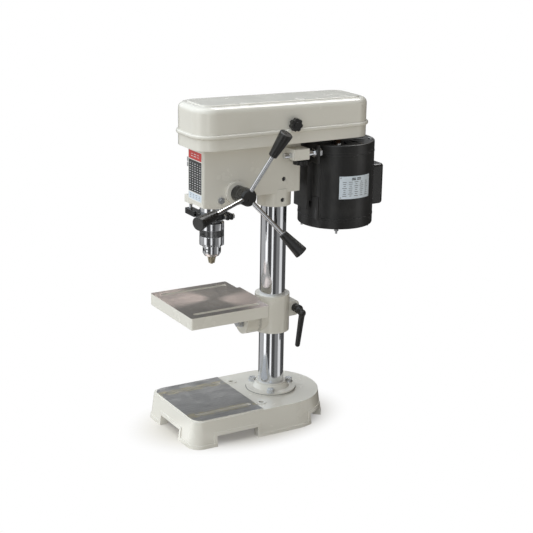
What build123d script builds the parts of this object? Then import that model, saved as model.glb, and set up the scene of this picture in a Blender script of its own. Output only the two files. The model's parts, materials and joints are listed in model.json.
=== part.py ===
"""A bench drill press: belt-driven head on a round column, with a tilting table.

The frame has +Z up, the column's axis as Z and the bench top as Z = 0. The front of
the machine faces -Y and the feed handles are on the +X side. Sizes are millimetres.
"""

from build123d import *
from math import acos, asin, atan, cos, degrees, pi, radians, sin, tan
import os

# ---------------------------------------------------------------- driving dimensions

RUN = 0.05  # radial clearance of a running or sliding fit
GAP = 0.3  # space between curved parts of different bodies that never touch

# Base casting, column and column flange
BASE_HALF, BASE_SPREAD = 87.6, 6.0  # half width at the top, and how far the foot flares
BASE_FRONT, PAD_REAR = -202.0, -65.0
DECK_Z, PAD_Z = 47.5, 49.5
BASE_WALL, BASE_TOP = 8.0, 9.0
FOOT_ARCH, BEAD = 19.0, 1.5
FRONT_ARCH_HALF, SIDE_ARCH = 36.0, (-161.0, -79.0)
REAR_ARCH = (22.0, 50.0)  # degrees round the column from +X, on both sides
BASE_SLOT_X, BASE_SLOT_Y = 57.0, (-188.0, -75.0)
BENCH_HOLE = (56.0, -52.0, 4.5)
SLOT_WIDTH = 9.0
COLUMN_R, COLUMN_BORE_R, COLUMN_TOP = 23.0, 19.5, 492.0
FLANGE_R, FLANGE_DISC, FLANGE_TOP = 45.5, 5.0, 63.0
FLANGE_BOLT_PCR, FLANGE_BOLT_ANGLES = 39.0, (-30.0, 90.0, 210.0)

# Table, its bracket and the clamp
TABLE_HALF, TABLE_Y = 80.0, (-205.0, -53.0)
TABLE_TOP, TABLE_DEPTH, TABLE_SKIN = 237.5, 21.0, 8.5
TABLE_SLOT_X, TABLE_SLOT_Y = 61.0, (-192.0, -62.0)
TILT_Z, TILT_SPLIT, TILT_FRONT, TILT_R = 187.5, -41.2, -64.0, 24.0
COLLAR_R, COLLAR_Z = 31.5, (162.5, 232.0)
EAR_Y, EAR_Z, EAR_HALF, EAR_CORNER = 45.5, (188.0, 216.0), 20.0, 8.0
LEVER_Y, LEVER_Z, LEVER_LENGTH = 37.0, 203.0, 60.0
LEVER_HUB_R, LEVER_ELBOW_R, LEVER_R = 7.8, 7.0, (5.6, 4.5)
LEVER_BEND, LEVER_LEAN = (12.0, 0.0, -4.0), (-3.0, -6.0)  # hub to elbow, then elbow to tip

# Head casting and quill
HEAD_HALF, HEAD_Y = 28.0, (-157.0, 38.0)
HEAD_BOTTOM, HEAD_NOSE_BOTTOM, HEAD_TOP = 423.0, 408.0, 514.0
HEAD_COLLAR_R, HEAD_COLLAR_Z = 30.0, 398.0
SPINDLE_Y = -124.5
QUILL_R, QUILL_BORE_R = 21.0, 17.5
QUILL_Z = (386.0, 490.0)

# Feed: a pinion on a cross shaft works the rack on the back of the quill
MODULE, PINION_TEETH = 1.5, 16
PINION_R = MODULE * PINION_TEETH / 2
RACK_Y = SPINDLE_Y + 19.5
RACK_HALF, TEETH_HALF, JOURNAL_X = 9.5, 9.0, 11.0
FEED_Y, FEED_Z = RACK_Y + PINION_R, 433.5
FEED_BOSS_R, FEED_BOSS_X = 21.0, 35.5
FEED_SHAFT_R, FEED_JOURNAL_R = 8.0, 13.4
HUB_X, HUB_STEP, HUB_R = (36.0, 76.0), (52.0, 57.0), (14.0, 15.2)
SPOKE_X, SPOKE_REACH, SPOKE_OUT = 67.0, 122.0, 53.0
SPOKE_R, SPOKE_START, SPOKE_COUNT = 4.0, 69.4, 3
GRIP_LENGTH, GRIP_R = 46.0, (7.5, 12.0)

# Depth stop
STOP_X, STOP_Y, STOP_R = -38.0, -146.0, 3.0
STOP_LUG_Z, STOP_NUT_Z = (408.0, 421.0), 472.0

# Spindle and chuck
SPINDLE_R, SPINDLE_TOP, SPLINE_R = 7.5, 568.0, (5.2, 6.8)
CHUCK_R, CHUCK_NOSE_R, CHUCK_Z = 21.5, 15.8, (318.5, 381.0)
SLEEVE_Z, SLEEVE_TEETH, KNURL_HEIGHT = (338.5, 366.5), 24, 12.0
JAW_R, JAW_TIP_Z, JAW_LENGTH = 2.6, 304.0, 36.0
JAW_TILT, JAW_TRAVEL, JAW_START_R = 13.0, 22.0, 3.05

# Belt drive and its guard
GUARD_HALF, GUARD_Y, GUARD_CORNER = 54.4, (-175.4, 170.8), 34.7
GUARD_BOTTOM, GUARD_SPLIT, GUARD_TOP = 514.0, 534.0, 589.0
GUARD_SKIN, GUARD_BEAD = 2.6, 3.6
GUARD_FALL, GUARD_SHOULDER = 5.0, 11.0  # how far the lid's top drops to the rear
CROWN_INSET, CROWN_HEIGHT = 15.0, 1.8
SPINDLE_STEPS = (42.0, 37.5, 33.0, 28.5, 24.0)  # from the bottom step up
MOTOR_STEPS = (18.0, 22.5, 27.0, 31.5, 36.0)
STEP_HEIGHT, PULLEY_Z, BELT_DEPTH = 11.0, 521.0, 6.5
HINGE_X, HINGE_Z, HINGE_R, HINGE_YS = -62.2, 537.5, 3.0, (-95.0, 95.0)
LID_KNOB_Y, LID_KNOB_Z = 4.0, 548.6

# Motor and its sliding mount
MOTOR_Y, MOTOR_R, MOTOR_Z = 130.0, 68.0, (351.0, 503.5)
MOTOR_BELL, MOTOR_SHAFT_R, MOTOR_SKIN = 14.0, 7.0, 2.5
MOUNT_TRAVEL = 12.0
BAR_X, BAR_Z, BAR_R, BAR_Y = 44.0, 492.0, 5.0, (-8.0, 68.0)
LUG_Y, LUG_Z, LUG_X = (6.0, 37.0), (484.0, 503.0), 56.0
PLATE_Y = (55.0, 60.0)
CAPACITOR_Y, CAPACITOR_Z, CAPACITOR_HALF = 222.5, (377.5, 452.5), 22.0

# Switch box on the left of the head
SWITCH_X, SWITCH_Y, SWITCH_Z = -56.0, (-64.0, -2.0), (430.0, 484.0)

STAND = (Align.CENTER, Align.CENTER, Align.MIN)
nodes = {}

# ------------------------------------------------------------------- shape helpers


def box(x, y, z):
    """A block between two x, two y and two z values."""
    low = (min(x), min(y), min(z))
    size = [abs(pair[1] - pair[0]) for pair in (x, y, z)]
    return Pos(*low) * Box(*size, align=(Align.MIN, Align.MIN, Align.MIN))


def upright(radius, z, x=0, y=0):
    """A cylinder that stands between two z values."""
    return Pos(x, y, z[0]) * Cylinder(radius, z[1] - z[0], align=STAND)


def along(start, end, radius, end_radius=None):
    """A cylinder, or a cone, from one point to another."""
    run = Vector(*end) - Vector(*start)
    if end_radius is None:
        solid = Cylinder(radius, run.length, align=STAND)
    else:
        solid = Cone(radius, end_radius, run.length, align=STAND)
    return Plane(origin=start, z_dir=run).location * solid


def across(x, y, z, radius):
    """A cylinder along X between two x values."""
    return along((x[0], y, z), (x[1], y, z), radius)


def lengthwise(y, x, z, radius):
    """A cylinder along Y between two y values."""
    return along((x, y[0], z), (x, y[1], z), radius)


def hexagon(centre, axis, across_flats, length):
    """A hexagonal prism from a centre along an axis."""
    plane = Plane(origin=centre, z_dir=axis)
    sketch = RegularPolygon(across_flats / 2, 6, major_radius=False)
    return extrude(plane * sketch, length)


def rounded_plan(half, y, corner, z, taper=0):
    """A block with a rounded rectangle as its plan, between two z values."""
    middle, depth = (y[0] + y[1]) / 2, y[1] - y[0]
    sketch = Pos(0, middle, z[0]) * RectangleRounded(2 * half, depth, corner)
    return extrude(sketch, z[1] - z[0], taper=taper)


def slot_cut(x, y, z, width):
    """A round-ended slot along Y."""
    middle, length = (y[0] + y[1]) / 2, y[1] - y[0]
    sketch = Pos(x, middle, z[0]) * Rot(0, 0, 90) * SlotOverall(length, width)
    return extrude(sketch, z[1] - z[0])


def ring(outer, inner, z, x=0, y=0):
    """A round washer between two z values."""
    return upright(outer, z, x, y) - upright(inner, (z[0] - 1, z[1] + 1), x, y)


def polar(radius, angle, x=0, y=0):
    """A point on a circle, as x and y."""
    return x + radius * cos(radians(angle)), y + radius * sin(radians(angle))


# ------------------------------------------------------------ base, flange, column


def base_plan(half, front, corner):
    """The base seen from above: a rectangle that ends in a half circle."""
    straight = Pos(0, front / 2) * Rectangle(2 * half, -front)
    corners = straight.vertices().sort_by(Axis.Y)[:2]
    return fillet(corners, corner) + Circle(half)


def base_solid(grow, height):
    """The flared body of the base, grown sideways by a skin."""
    half = BASE_HALF + BASE_SPREAD + grow
    plan = base_plan(half, BASE_FRONT - BASE_SPREAD - grow, 22 + grow)
    flare = degrees(atan(BASE_SPREAD / DECK_Z))
    return extrude(plan, height, taper=flare)


def foot_arches(grow):
    """The openings between the feet, each grown by a margin."""
    low, top = -1, FOOT_ARCH + grow
    front_half = FRONT_ARCH_HALF + grow
    front = box((-front_half, front_half), (BASE_FRONT - 20, BASE_FRONT + 30), (low, top))
    arches = front
    side = (SIDE_ARCH[0] - grow, SIDE_ARCH[1] + grow)
    for hand in (-1, 1):
        arches += box((hand * 60, hand * 110), side, (low, top))
        spread = degrees(grow / (BASE_HALF + BASE_SPREAD))
        first, last = REAR_ARCH[0] - spread, REAR_ARCH[1] + spread
        corners = [polar(60, first), polar(130, first), polar(130, last), polar(60, last)]
        wedge = make_face(Polyline(*[(hand * x, y) for x, y in corners], close=True))
        arches += extrude(Pos(0, 0, low) * wedge, top - low)
    return arches


def base_casting():
    """The iron base: a hollow flared casting on five feet with a machined pad."""
    body = base_solid(0, DECK_Z)
    rim = base_solid(BEAD, FOOT_ARCH + 8)
    rim &= foot_arches(6) + box((-150, 150), (-250, 150), (-1, 6))
    pad = base_plan(BASE_HALF - 2.5, BASE_FRONT + 2.5, 20)
    pad = extrude(Pos(0, 0, DECK_Z) * pad, PAD_Z - DECK_Z)
    pad &= box((-100, 100), (-250, PAD_REAR), (0, 100))
    body += rim + pad
    hollow = base_plan(BASE_HALF - BASE_WALL, BASE_FRONT + BASE_WALL, 16)
    body -= extrude(Pos(0, 0, -1) * hollow, DECK_Z - BASE_TOP + 1)
    body += upright(52, (DECK_Z - 22, DECK_Z))
    body -= foot_arches(0)
    x, y, radius = BENCH_HOLE
    for hand in (-1, 1):
        body += upright(9.5, (DECK_Z - BASE_TOP, DECK_Z + 1), hand * x, y)
        body -= upright(radius, (0, 60), hand * x, y)
        body -= slot_cut(hand * BASE_SLOT_X, BASE_SLOT_Y, (0, 60), SLOT_WIDTH)
    for angle in FLANGE_BOLT_ANGLES:
        body -= upright(4, (DECK_Z - 18, 60), *polar(FLANGE_BOLT_PCR, angle))
    return body


def column_flange():
    """The cast flange that holds the column upright on the base."""
    low, disc = DECK_Z, DECK_Z + FLANGE_DISC
    body = upright(FLANGE_R, (low, disc))
    body += along((0, 0, disc), (0, 0, FLANGE_TOP - 3), 34, 27.5)
    body += upright(27.5, (FLANGE_TOP - 3, FLANGE_TOP))
    body -= upright(COLUMN_R, (low + 2, FLANGE_TOP + 1))
    for angle in FLANGE_BOLT_ANGLES:
        x, y = polar(FLANGE_BOLT_PCR, angle)
        body -= upright(4, (low - 1, disc + 1), x, y)
        body -= upright(8, (disc, FLANGE_TOP), x, y)
    return body


def flange_bolts():
    """The hex bolts that hold the flange down."""
    seat = DECK_Z + FLANGE_DISC
    bolts = []
    for angle in FLANGE_BOLT_ANGLES:
        x, y = polar(FLANGE_BOLT_PCR, angle)
        bolt = upright(7.6, (seat, seat + 1.2), x, y)
        bolt += hexagon((x, y, seat + 1.2), (0, 0, 1), 12, 5.6)
        bolts.append(bolt + upright(4, (DECK_Z - 17, seat), x, y))
    return Compound(bolts)


nodes["base_casting"] = base_casting()
nodes["column_flange"] = column_flange()
nodes["flange_bolts"] = flange_bolts()
nodes["column"] = ring(COLUMN_R, COLUMN_BORE_R, (DECK_Z + 2, COLUMN_TOP))

# ------------------------------------------------------------------ table and bracket


def table_bracket():
    """The split collar on the column, with its clamp ears and its tilt arm."""
    body = upright(COLLAR_R, COLLAR_Z)
    body += lengthwise((TILT_SPLIT, 0), 0, TILT_Z, TILT_R)
    ears = box((-EAR_HALF, EAR_HALF), (20, EAR_Y), EAR_Z)
    body += fillet(ears.edges().filter_by(Axis.X).group_by(Axis.Y)[-1], EAR_CORNER)
    body -= upright(COLUMN_R + RUN, (COLLAR_Z[0] - 1, COLLAR_Z[1] + 1))
    body -= box((-1.5, 1.5), (18, 60), (COLLAR_Z[0] - 1, COLLAR_Z[1] + 1))
    body -= across((-30, 30), LEVER_Y, LEVER_Z, 4 + RUN)
    return body - lengthwise((-60, -24), 0, TILT_Z, 6)


def tilt_bolt():
    """The bolt that the table turns on: a head, a washer and a shank into the arm."""
    bolt = lengthwise((TILT_FRONT - 2 - GAP, TILT_FRONT - GAP), 0, TILT_Z, 12)
    bolt += hexagon((0, TILT_FRONT - 2 - GAP, TILT_Z), (0, -1, 0), 18, 8)
    return bolt + lengthwise((TILT_FRONT - GAP, -25), 0, TILT_Z, 6)


def table():
    """The ribbed table with two clamping slots and the boss that it tilts on."""
    low, skin = TABLE_TOP - TABLE_DEPTH, TABLE_TOP - TABLE_SKIN
    body = rounded_plan(TABLE_HALF, TABLE_Y, 3, (low, TABLE_TOP))
    body -= rounded_plan(TABLE_HALF - 7, (TABLE_Y[0] + 7, TABLE_Y[1] - 7), 4, (low - 1, skin))
    body += box((-37, 37), (TABLE_Y[1] - 7, -46.5), (low, TABLE_TOP))
    for x in (-TABLE_SLOT_X, TABLE_SLOT_X):
        body += box((x - 9, x + 9), TABLE_Y, (low + 5, skin))
    body += box((-TABLE_HALF, TABLE_HALF), (-132, -126), (low + 2, skin))
    body += box((-3, 3), TABLE_Y, (low + 2, skin))
    body += lengthwise((TILT_FRONT, TILT_SPLIT - GAP), 0, TILT_Z, TILT_R)
    body += box((-TILT_R, TILT_R), (TILT_FRONT, TILT_SPLIT - 6), (TILT_Z, skin))
    body -= lengthwise((-90, -30), 0, TILT_Z, 6 + RUN)
    for x in (-TABLE_SLOT_X, TABLE_SLOT_X):
        body -= slot_cut(x, TABLE_SLOT_Y, (low - 5, TABLE_TOP + 1), SLOT_WIDTH)
    return body


def clamp_lever():
    """The ratchet lever that pinches the collar, with its stud through both ears."""
    seat = EAR_HALF + GAP
    hub_end = Vector(seat + 12, LEVER_Y, LEVER_Z)
    elbow = hub_end + Vector(*LEVER_BEND)
    tip = elbow + Vector(*LEVER_LEAN, -LEVER_LENGTH)
    body = across((seat, hub_end.X), LEVER_Y, LEVER_Z, LEVER_HUB_R)
    body += Pos(*hub_end) * Sphere(LEVER_HUB_R + 0.5) + Pos(*elbow) * Sphere(LEVER_ELBOW_R)
    body += along(tuple(hub_end), tuple(elbow), LEVER_ELBOW_R - 0.5)
    body += along(tuple(elbow), tuple(tip), *LEVER_R) + Pos(*tip) * Sphere(LEVER_R[1])
    body += across((-EAR_HALF - 9, seat + 4), LEVER_Y, LEVER_Z, 4)
    return body + hexagon((-EAR_HALF - GAP, LEVER_Y, LEVER_Z), (-1, 0, 0), 13, 6)


nodes["table_bracket"] = table_bracket()
nodes["tilt_bolt"] = tilt_bolt()
nodes["table"] = table()
nodes["clamp_lever"] = clamp_lever()

# ----------------------------------------------------------------------- head casting


def head_outside():
    """The outer form of the head, before it is bored."""
    round_by = 5
    body = box((-HEAD_HALF, HEAD_HALF), HEAD_Y, (HEAD_BOTTOM, HEAD_TOP))
    front, rear, low = HEAD_Y[0], FEED_Y + 24, HEAD_NOSE_BOTTOM
    bottom = ThreePointArc((front, low + 4), (SPINDLE_Y + 6, low), (rear, HEAD_BOTTOM + 2))
    top = Polyline((rear, HEAD_BOTTOM + 2), (rear, HEAD_TOP), (front, HEAD_TOP), (front, low + 4))
    nose = extrude(Plane.YZ.offset(-HEAD_HALF) * make_face(bottom + top), 2 * HEAD_HALF)
    body += nose
    body = fillet(body.edges().filter_by(Axis.Z), round_by)
    body += upright(HEAD_COLLAR_R, (HEAD_COLLAR_Z, HEAD_BOTTOM + 6))
    body += across((HEAD_HALF - 8, FEED_BOSS_X), FEED_Y, FEED_Z, FEED_BOSS_R)
    body += across((-FEED_BOSS_X + 2, -HEAD_HALF + 8), FEED_Y, FEED_Z, FEED_BOSS_R)
    for hand in (-1, 1):
        body += box((hand * 20, hand * LUG_X), LUG_Y, LUG_Z)
    lug = box((STOP_X - 8, -20), (STOP_Y - 8, STOP_Y + 9), STOP_LUG_Z)
    return body + lug


def head_cavities():
    """Everything that is bored, cored or drilled out of the head."""
    cut = upright(QUILL_R + RUN, (HEAD_NOSE_BOTTOM - 1, QUILL_Z[1] + 2), 0, SPINDLE_Y)
    cut += upright(17, (QUILL_Z[1], HEAD_TOP + 1), 0, SPINDLE_Y)
    cut += upright(COLUMN_R, (HEAD_COLLAR_Z - 1, COLUMN_TOP))
    cut += box((-20, 20), (FEED_Y + 22, -30), (HEAD_BOTTOM + 8, HEAD_TOP + 1))
    teeth = RACK_HALF + 0.5
    cut += box((-teeth, teeth), (SPINDLE_Y + 8, FEED_Y), (FEED_Z - 14.2, FEED_Z + 14.2))
    cut += across((-teeth, FEED_BOSS_X + 1), FEED_Y, FEED_Z, FEED_JOURNAL_R + RUN)
    cut += across((-40, -9), FEED_Y, FEED_Z, FEED_SHAFT_R + RUN)
    cut += across((15, 40), SPINDLE_Y + 2.5, FEED_Z - 11.5, 3)
    cut += across((20, 40), 3, 447, 4) + across((20, 40), 0, 410, 4)
    cut += upright(STOP_R + RUN, (400, 430), STOP_X, STOP_Y)
    for hand in (-1, 1):
        cut += lengthwise((LUG_Y[0] - 1, LUG_Y[1] + 1), hand * BAR_X, BAR_Z, BAR_R + RUN)
        cut += upright(4 + RUN, (LUG_Z[0] - 1, BAR_Z), hand * BAR_X, sum(LUG_Y) / 2 + 6)
    return cut


def quill_guide_screw():
    """The slotted dog screw and lock nut that keep the quill from turning."""
    y, z = SPINDLE_Y + 2.5, FEED_Z - 11.5
    screw = across((QUILL_R + 1.5, HEAD_HALF + 4), y, z, 3)
    screw += hexagon((HEAD_HALF, y, z), (1, 0, 0), 11, 3.2)
    return screw - box((HEAD_HALF + 3.2, HEAD_HALF + 5), (y - 4, y + 4), (z - 0.6, z + 0.6))


def head_set_screws():
    """The socket screws that lock the head to the column."""
    screws = []
    for y, z, depth in ((3, 447, HEAD_HALF - 3), (0, 410, HEAD_COLLAR_R - 3)):
        screw = across((COLUMN_R + 0.2, depth), y, z, 4)
        screws.append(screw - extrude(Plane(origin=(depth, y, z), z_dir=(-1, 0, 0))
                                      * RegularPolygon(2, 6), 1.5))
    return Compound(screws)


nodes["head_casting"] = head_outside() - head_cavities()
nodes["quill_guide_screw"] = quill_guide_screw()
nodes["head_set_screws"] = head_set_screws()

# --------------------------------------------------------------------- quill and feed


def rack_spaces():
    """The tooth spaces of the rack, stacked up the back of the quill."""
    pitch, low, tip = pi * MODULE, RACK_Y - 1.25 * MODULE, RACK_Y + 4
    flank = 0.364  # tangent of the 20 degree pressure angle
    spaces = []
    for step in range(-4, 14):
        z = FEED_Z + pitch * step
        half = pitch / 4 + 0.1
        inner, outer = half - flank * (RACK_Y - low), half + flank * (tip - RACK_Y)
        points = [(low, z - inner), (tip, z - outer), (tip, z + outer), (low, z + inner)]
        face = Plane.YZ.offset(-RACK_HALF) * make_face(Polyline(*points, close=True))
        spaces.append(extrude(face, 2 * RACK_HALF))
    return spaces


def quill():
    """The sliding sleeve that carries the spindle, with a rack cut in its back."""
    body = upright(QUILL_R, QUILL_Z, 0, SPINDLE_Y)
    body -= upright(SPINDLE_R + 2.5, (QUILL_Z[0] - 1, QUILL_Z[1] + 1), 0, SPINDLE_Y)
    for z in ((QUILL_Z[0] - 1, QUILL_Z[0] + 11), (QUILL_Z[1] - 11, QUILL_Z[1] + 1)):
        body -= upright(QUILL_BORE_R, z, 0, SPINDLE_Y)
    flat = RACK_Y + 0.8 * MODULE
    rack_z = (FEED_Z - 16, QUILL_Z[1] + 1)
    body -= box((-RACK_HALF, RACK_HALF), (flat, flat + 9), rack_z)
    body -= rack_spaces()
    keyway = (QUILL_R + 1.2 - 3, QUILL_R + 2)
    body -= box(keyway, (SPINDLE_Y - 0.6, SPINDLE_Y + 5.6), (FEED_Z - 16, QUILL_Z[1] + 1))
    return body


def involute(angle):
    """The involute function of an angle in radians."""
    return tan(angle) - angle


def pinion_space():
    """One tooth space of the pinion, as a face centred on the X axis."""
    pressure, backlash = radians(20), 0.3
    base, root = PINION_R * cos(pressure), PINION_R - 1.25 * MODULE
    at_pitch = 90 / PINION_TEETH + backlash
    half_angles = [(root, at_pitch - degrees(involute(pressure)))]
    for step in range(5):
        radius = base + step / 4 * (PINION_R + 1.4 * MODULE - base)
        swing = involute(acos(base / radius)) - involute(pressure)
        half_angles.append((radius, at_pitch + degrees(swing)))
    lower = [polar(radius, -half) for radius, half in half_angles]
    upper = [polar(radius, half) for radius, half in reversed(half_angles)]
    return make_face(Polyline(*lower, *upper, close=True))


def pinion_shaft():
    """The feed shaft: a journal, the pinion teeth and the stub for the spring."""
    body = across((-TEETH_HALF, TEETH_HALF), FEED_Y, FEED_Z, PINION_R + 0.8 * MODULE)
    space = extrude(Plane.YZ.offset(-10) * pinion_space(), 20)
    first = 180 + 180 / PINION_TEETH
    for step in range(PINION_TEETH):
        turn = first + 360 / PINION_TEETH * step
        body -= Pos(0, FEED_Y, FEED_Z) * Rot(turn, 0, 0) * space
    body += across((TEETH_HALF, JOURNAL_X), FEED_Y, FEED_Z, FEED_SHAFT_R)
    body += across((JOURNAL_X, FEED_BOSS_X), FEED_Y, FEED_Z, FEED_JOURNAL_R)
    body += across((FEED_BOSS_X, HUB_X[1] - 8), FEED_Y, FEED_Z, FEED_SHAFT_R)
    body += across((-34, -TEETH_HALF), FEED_Y, FEED_Z, FEED_SHAFT_R)
    body += across((-66, -34), FEED_Y, FEED_Z, 5)
    return body


def feed_hub():
    """The moulded hub that holds the three feed spokes."""
    first, last = HUB_STEP
    narrow = across((HUB_X[0], first + 2), FEED_Y, FEED_Z, HUB_R[0])
    wide = along((first, FEED_Y, FEED_Z), (last, FEED_Y, FEED_Z), *HUB_R)
    wide += across((last, HUB_X[1]), FEED_Y, FEED_Z, HUB_R[1])
    wide = chamfer(wide.edges().filter_by(GeomType.CIRCLE).sort_by(Axis.X)[-1], 3)
    body = narrow + wide - across((HUB_X[0] - 1, HUB_X[1] - 8), FEED_Y, FEED_Z, FEED_SHAFT_R)
    for index in range(SPOKE_COUNT):
        body -= along(spoke_point(index, 10), spoke_point(index, 30), SPOKE_R)
    return body


def spoke_point(index, distance):
    """A point along a spoke's axis, measured from the feed shaft's axis."""
    length = (SPOKE_REACH**2 + SPOKE_OUT**2) ** 0.5
    radial, outward = distance * SPOKE_REACH / length, distance * SPOKE_OUT / length
    y, z = polar(radial, SPOKE_START - 360 / SPOKE_COUNT * index, FEED_Y, FEED_Z)
    return SPOKE_X + outward, y, z


def feed_rod(index):
    """One chrome spoke."""
    return along(spoke_point(index, 10), spoke_point(index, 100), SPOKE_R)


def feed_grip(index):
    """One tapered grip, pressed over the end of its spoke."""
    length = (SPOKE_REACH**2 + SPOKE_OUT**2) ** 0.5
    start, end = spoke_point(index, length - GRIP_LENGTH), spoke_point(index, length + 1)
    body = along(start, end, *GRIP_R)
    body = fillet(body.edges().filter_by(GeomType.CIRCLE), 1.5)
    return body - along(spoke_point(index, 60), spoke_point(index, 100), SPOKE_R)


def spring_cap():
    """The cap on the left of the head that holds the return spring."""
    left = -FEED_BOSS_X + 2
    cap = across((left - 17, left), FEED_Y, FEED_Z, 23)
    cap -= across((left - 14.5, left + 1), FEED_Y, FEED_Z, 20.5)
    cap -= across((left - 20, left), FEED_Y, FEED_Z, 5 + 4 * RUN)
    for step in range(3):
        y, z = polar(22, 90 + 120 * step, FEED_Y, FEED_Z)
        cap -= across((left - 20, left - 12), y, z, 2.5)
    return cap


def return_spring():
    """The flat coil spring inside its cap, as nested bands joined by a link."""
    x = (-FEED_BOSS_X - 10, -FEED_BOSS_X + 0.5)
    coil = Part()
    for turn in range(4):
        radius = 8.5 + 3 * turn
        band = across(x, FEED_Y, FEED_Z, radius + 1.1) - across(x, FEED_Y, FEED_Z, radius)
        coil += band
        if turn < 3:
            coil += box(x, (FEED_Y - 1, FEED_Y + 1), (FEED_Z + radius + 1, FEED_Z + radius + 3.2))
    return coil


def spring_nuts():
    """The jam nuts on the end of the feed shaft."""
    left = -FEED_BOSS_X + 2 - 17 - GAP
    nuts = []
    for start in (left, left - 6.2):
        nut = hexagon((start, FEED_Y, FEED_Z), (-1, 0, 0), 15, 5.6)
        nuts.append(nut - across((-80, -40), FEED_Y, FEED_Z, 5))
    return Compound(nuts)


nodes["quill"] = quill()
nodes["pinion_shaft"] = pinion_shaft()
nodes["feed_hub"] = feed_hub()
for number in range(SPOKE_COUNT):
    nodes[f"feed_rod_{number + 1}"] = feed_rod(number)
    nodes[f"feed_grip_{number + 1}"] = feed_grip(number)
nodes["spring_cap"] = spring_cap()
nodes["return_spring"] = return_spring()
nodes["spring_nuts"] = spring_nuts()

# ------------------------------------------------------------------------- depth stop


def depth_bracket():
    """The split clamp on the quill's foot that carries the depth rod."""
    z = (QUILL_Z[0] + 1, QUILL_Z[0] + 11)
    body = upright(27, z, 0, SPINDLE_Y)
    body += box((STOP_X - 8, -12), (STOP_Y - 7, STOP_Y + 7), z)
    body += box((14, 33), (SPINDLE_Y + 12, SPINDLE_Y + 24), z)
    body -= upright(QUILL_R, (z[0] - 1, z[1] + 1), 0, SPINDLE_Y)
    body -= box((16, 40), (SPINDLE_Y + 16.5, SPINDLE_Y + 19.5), (z[0] - 1, z[1] + 1))
    return body - upright(STOP_R, (z[0] - 1, z[1] + 1), STOP_X, STOP_Y)


def bracket_screw():
    """The clamp screw and nut of the depth bracket."""
    y, z = SPINDLE_Y, QUILL_Z[0] + 6
    screw = lengthwise((y + 8.5, y + 24), 27.5, z, 2.5)
    screw += hexagon((27.5, y + 24, z), (0, 1, 0), 8, 4)
    return screw + hexagon((27.5, y + 12, z), (0, -1, 0), 8, 3.5)


def depth_nut(start):
    """One hex nut on the depth rod."""
    nut = hexagon((STOP_X, STOP_Y, start), (0, 0, 1), 11, 7)
    return nut - upright(STOP_R + RUN, (start - 1, start + 8), STOP_X, STOP_Y)


nodes["depth_bracket"] = depth_bracket() - nodes["quill"] - bracket_screw()
nodes["bracket_screw"] = bracket_screw() - nodes["quill"]
nodes["depth_rod"] = upright(STOP_R, (QUILL_Z[0], STOP_NUT_Z + 34), STOP_X, STOP_Y)
nodes["depth_nuts"] = Compound([depth_nut(STOP_NUT_Z), depth_nut(STOP_NUT_Z + 9)])

# ------------------------------------------------------------------ spindle and chuck


def splines(z, grow=0):
    """A six-key splined shaft between two z values, grown all round for its bore."""
    body = upright(SPLINE_R[0] + grow, z, 0, SPINDLE_Y)
    for step in range(6):
        key = box((-1.5 - grow, 1.5 + grow), (0, SPLINE_R[1] + grow), z)
        body += Pos(0, SPINDLE_Y) * Rot(0, 0, 60 * step) * key
    return body


def spindle():
    """The spindle: a taper for the chuck, two journals and a splined tail."""
    body = upright(SPINDLE_R, (QUILL_Z[0] - 1, QUILL_Z[1] + 1), 0, SPINDLE_Y)
    low = (0, SPINDLE_Y, CHUCK_Z[1] - 16)
    body += along(low, (0, SPINDLE_Y, QUILL_Z[0] - 1), 6.6, 7.4)
    body += upright(10, (CHUCK_Z[1] + 0.8, QUILL_Z[0] - GAP), 0, SPINDLE_Y)
    return body + splines((QUILL_Z[1], SPINDLE_TOP))


def jaw_axis(index, distance):
    """A point along a jaw's sloping axis, up from its tip."""
    radial = JAW_START_R + distance * sin(radians(JAW_TILT))
    x, y = polar(radial, 90 + 120 * index, 0, SPINDLE_Y)
    return x, y, JAW_TIP_Z + distance * cos(radians(JAW_TILT))


def chuck_jaw(index):
    """One jaw: a sloping rod with its gripping face ground parallel to the spindle."""
    body = along(jaw_axis(index, 0), jaw_axis(index, JAW_LENGTH), JAW_R)
    clear = Pos(0, SPINDLE_Y, JAW_TIP_Z - 2) * Rot(0, 0, 90 + 120 * index) * Pos(0.35, 0)
    keep = clear * Box(40, 60, 80, align=(Align.MIN, Align.CENTER, Align.MIN))
    cheeks = Pos(0, SPINDLE_Y, JAW_TIP_Z - 2) * Rot(0, 0, 90 + 120 * index)
    wedge = make_face(Polyline((0.3, 0), (40, 66), (40, -66), close=True))
    keep &= cheeks * extrude(wedge, 80)
    body &= keep
    return body & box((-40, 40), (SPINDLE_Y - 40, SPINDLE_Y + 40), (JAW_TIP_Z, 400))


def jaw_bores(radius, length):
    """The three sloping bores that the jaws slide in."""
    return [along(jaw_axis(i, -6), jaw_axis(i, length), radius) for i in range(3)]


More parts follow.
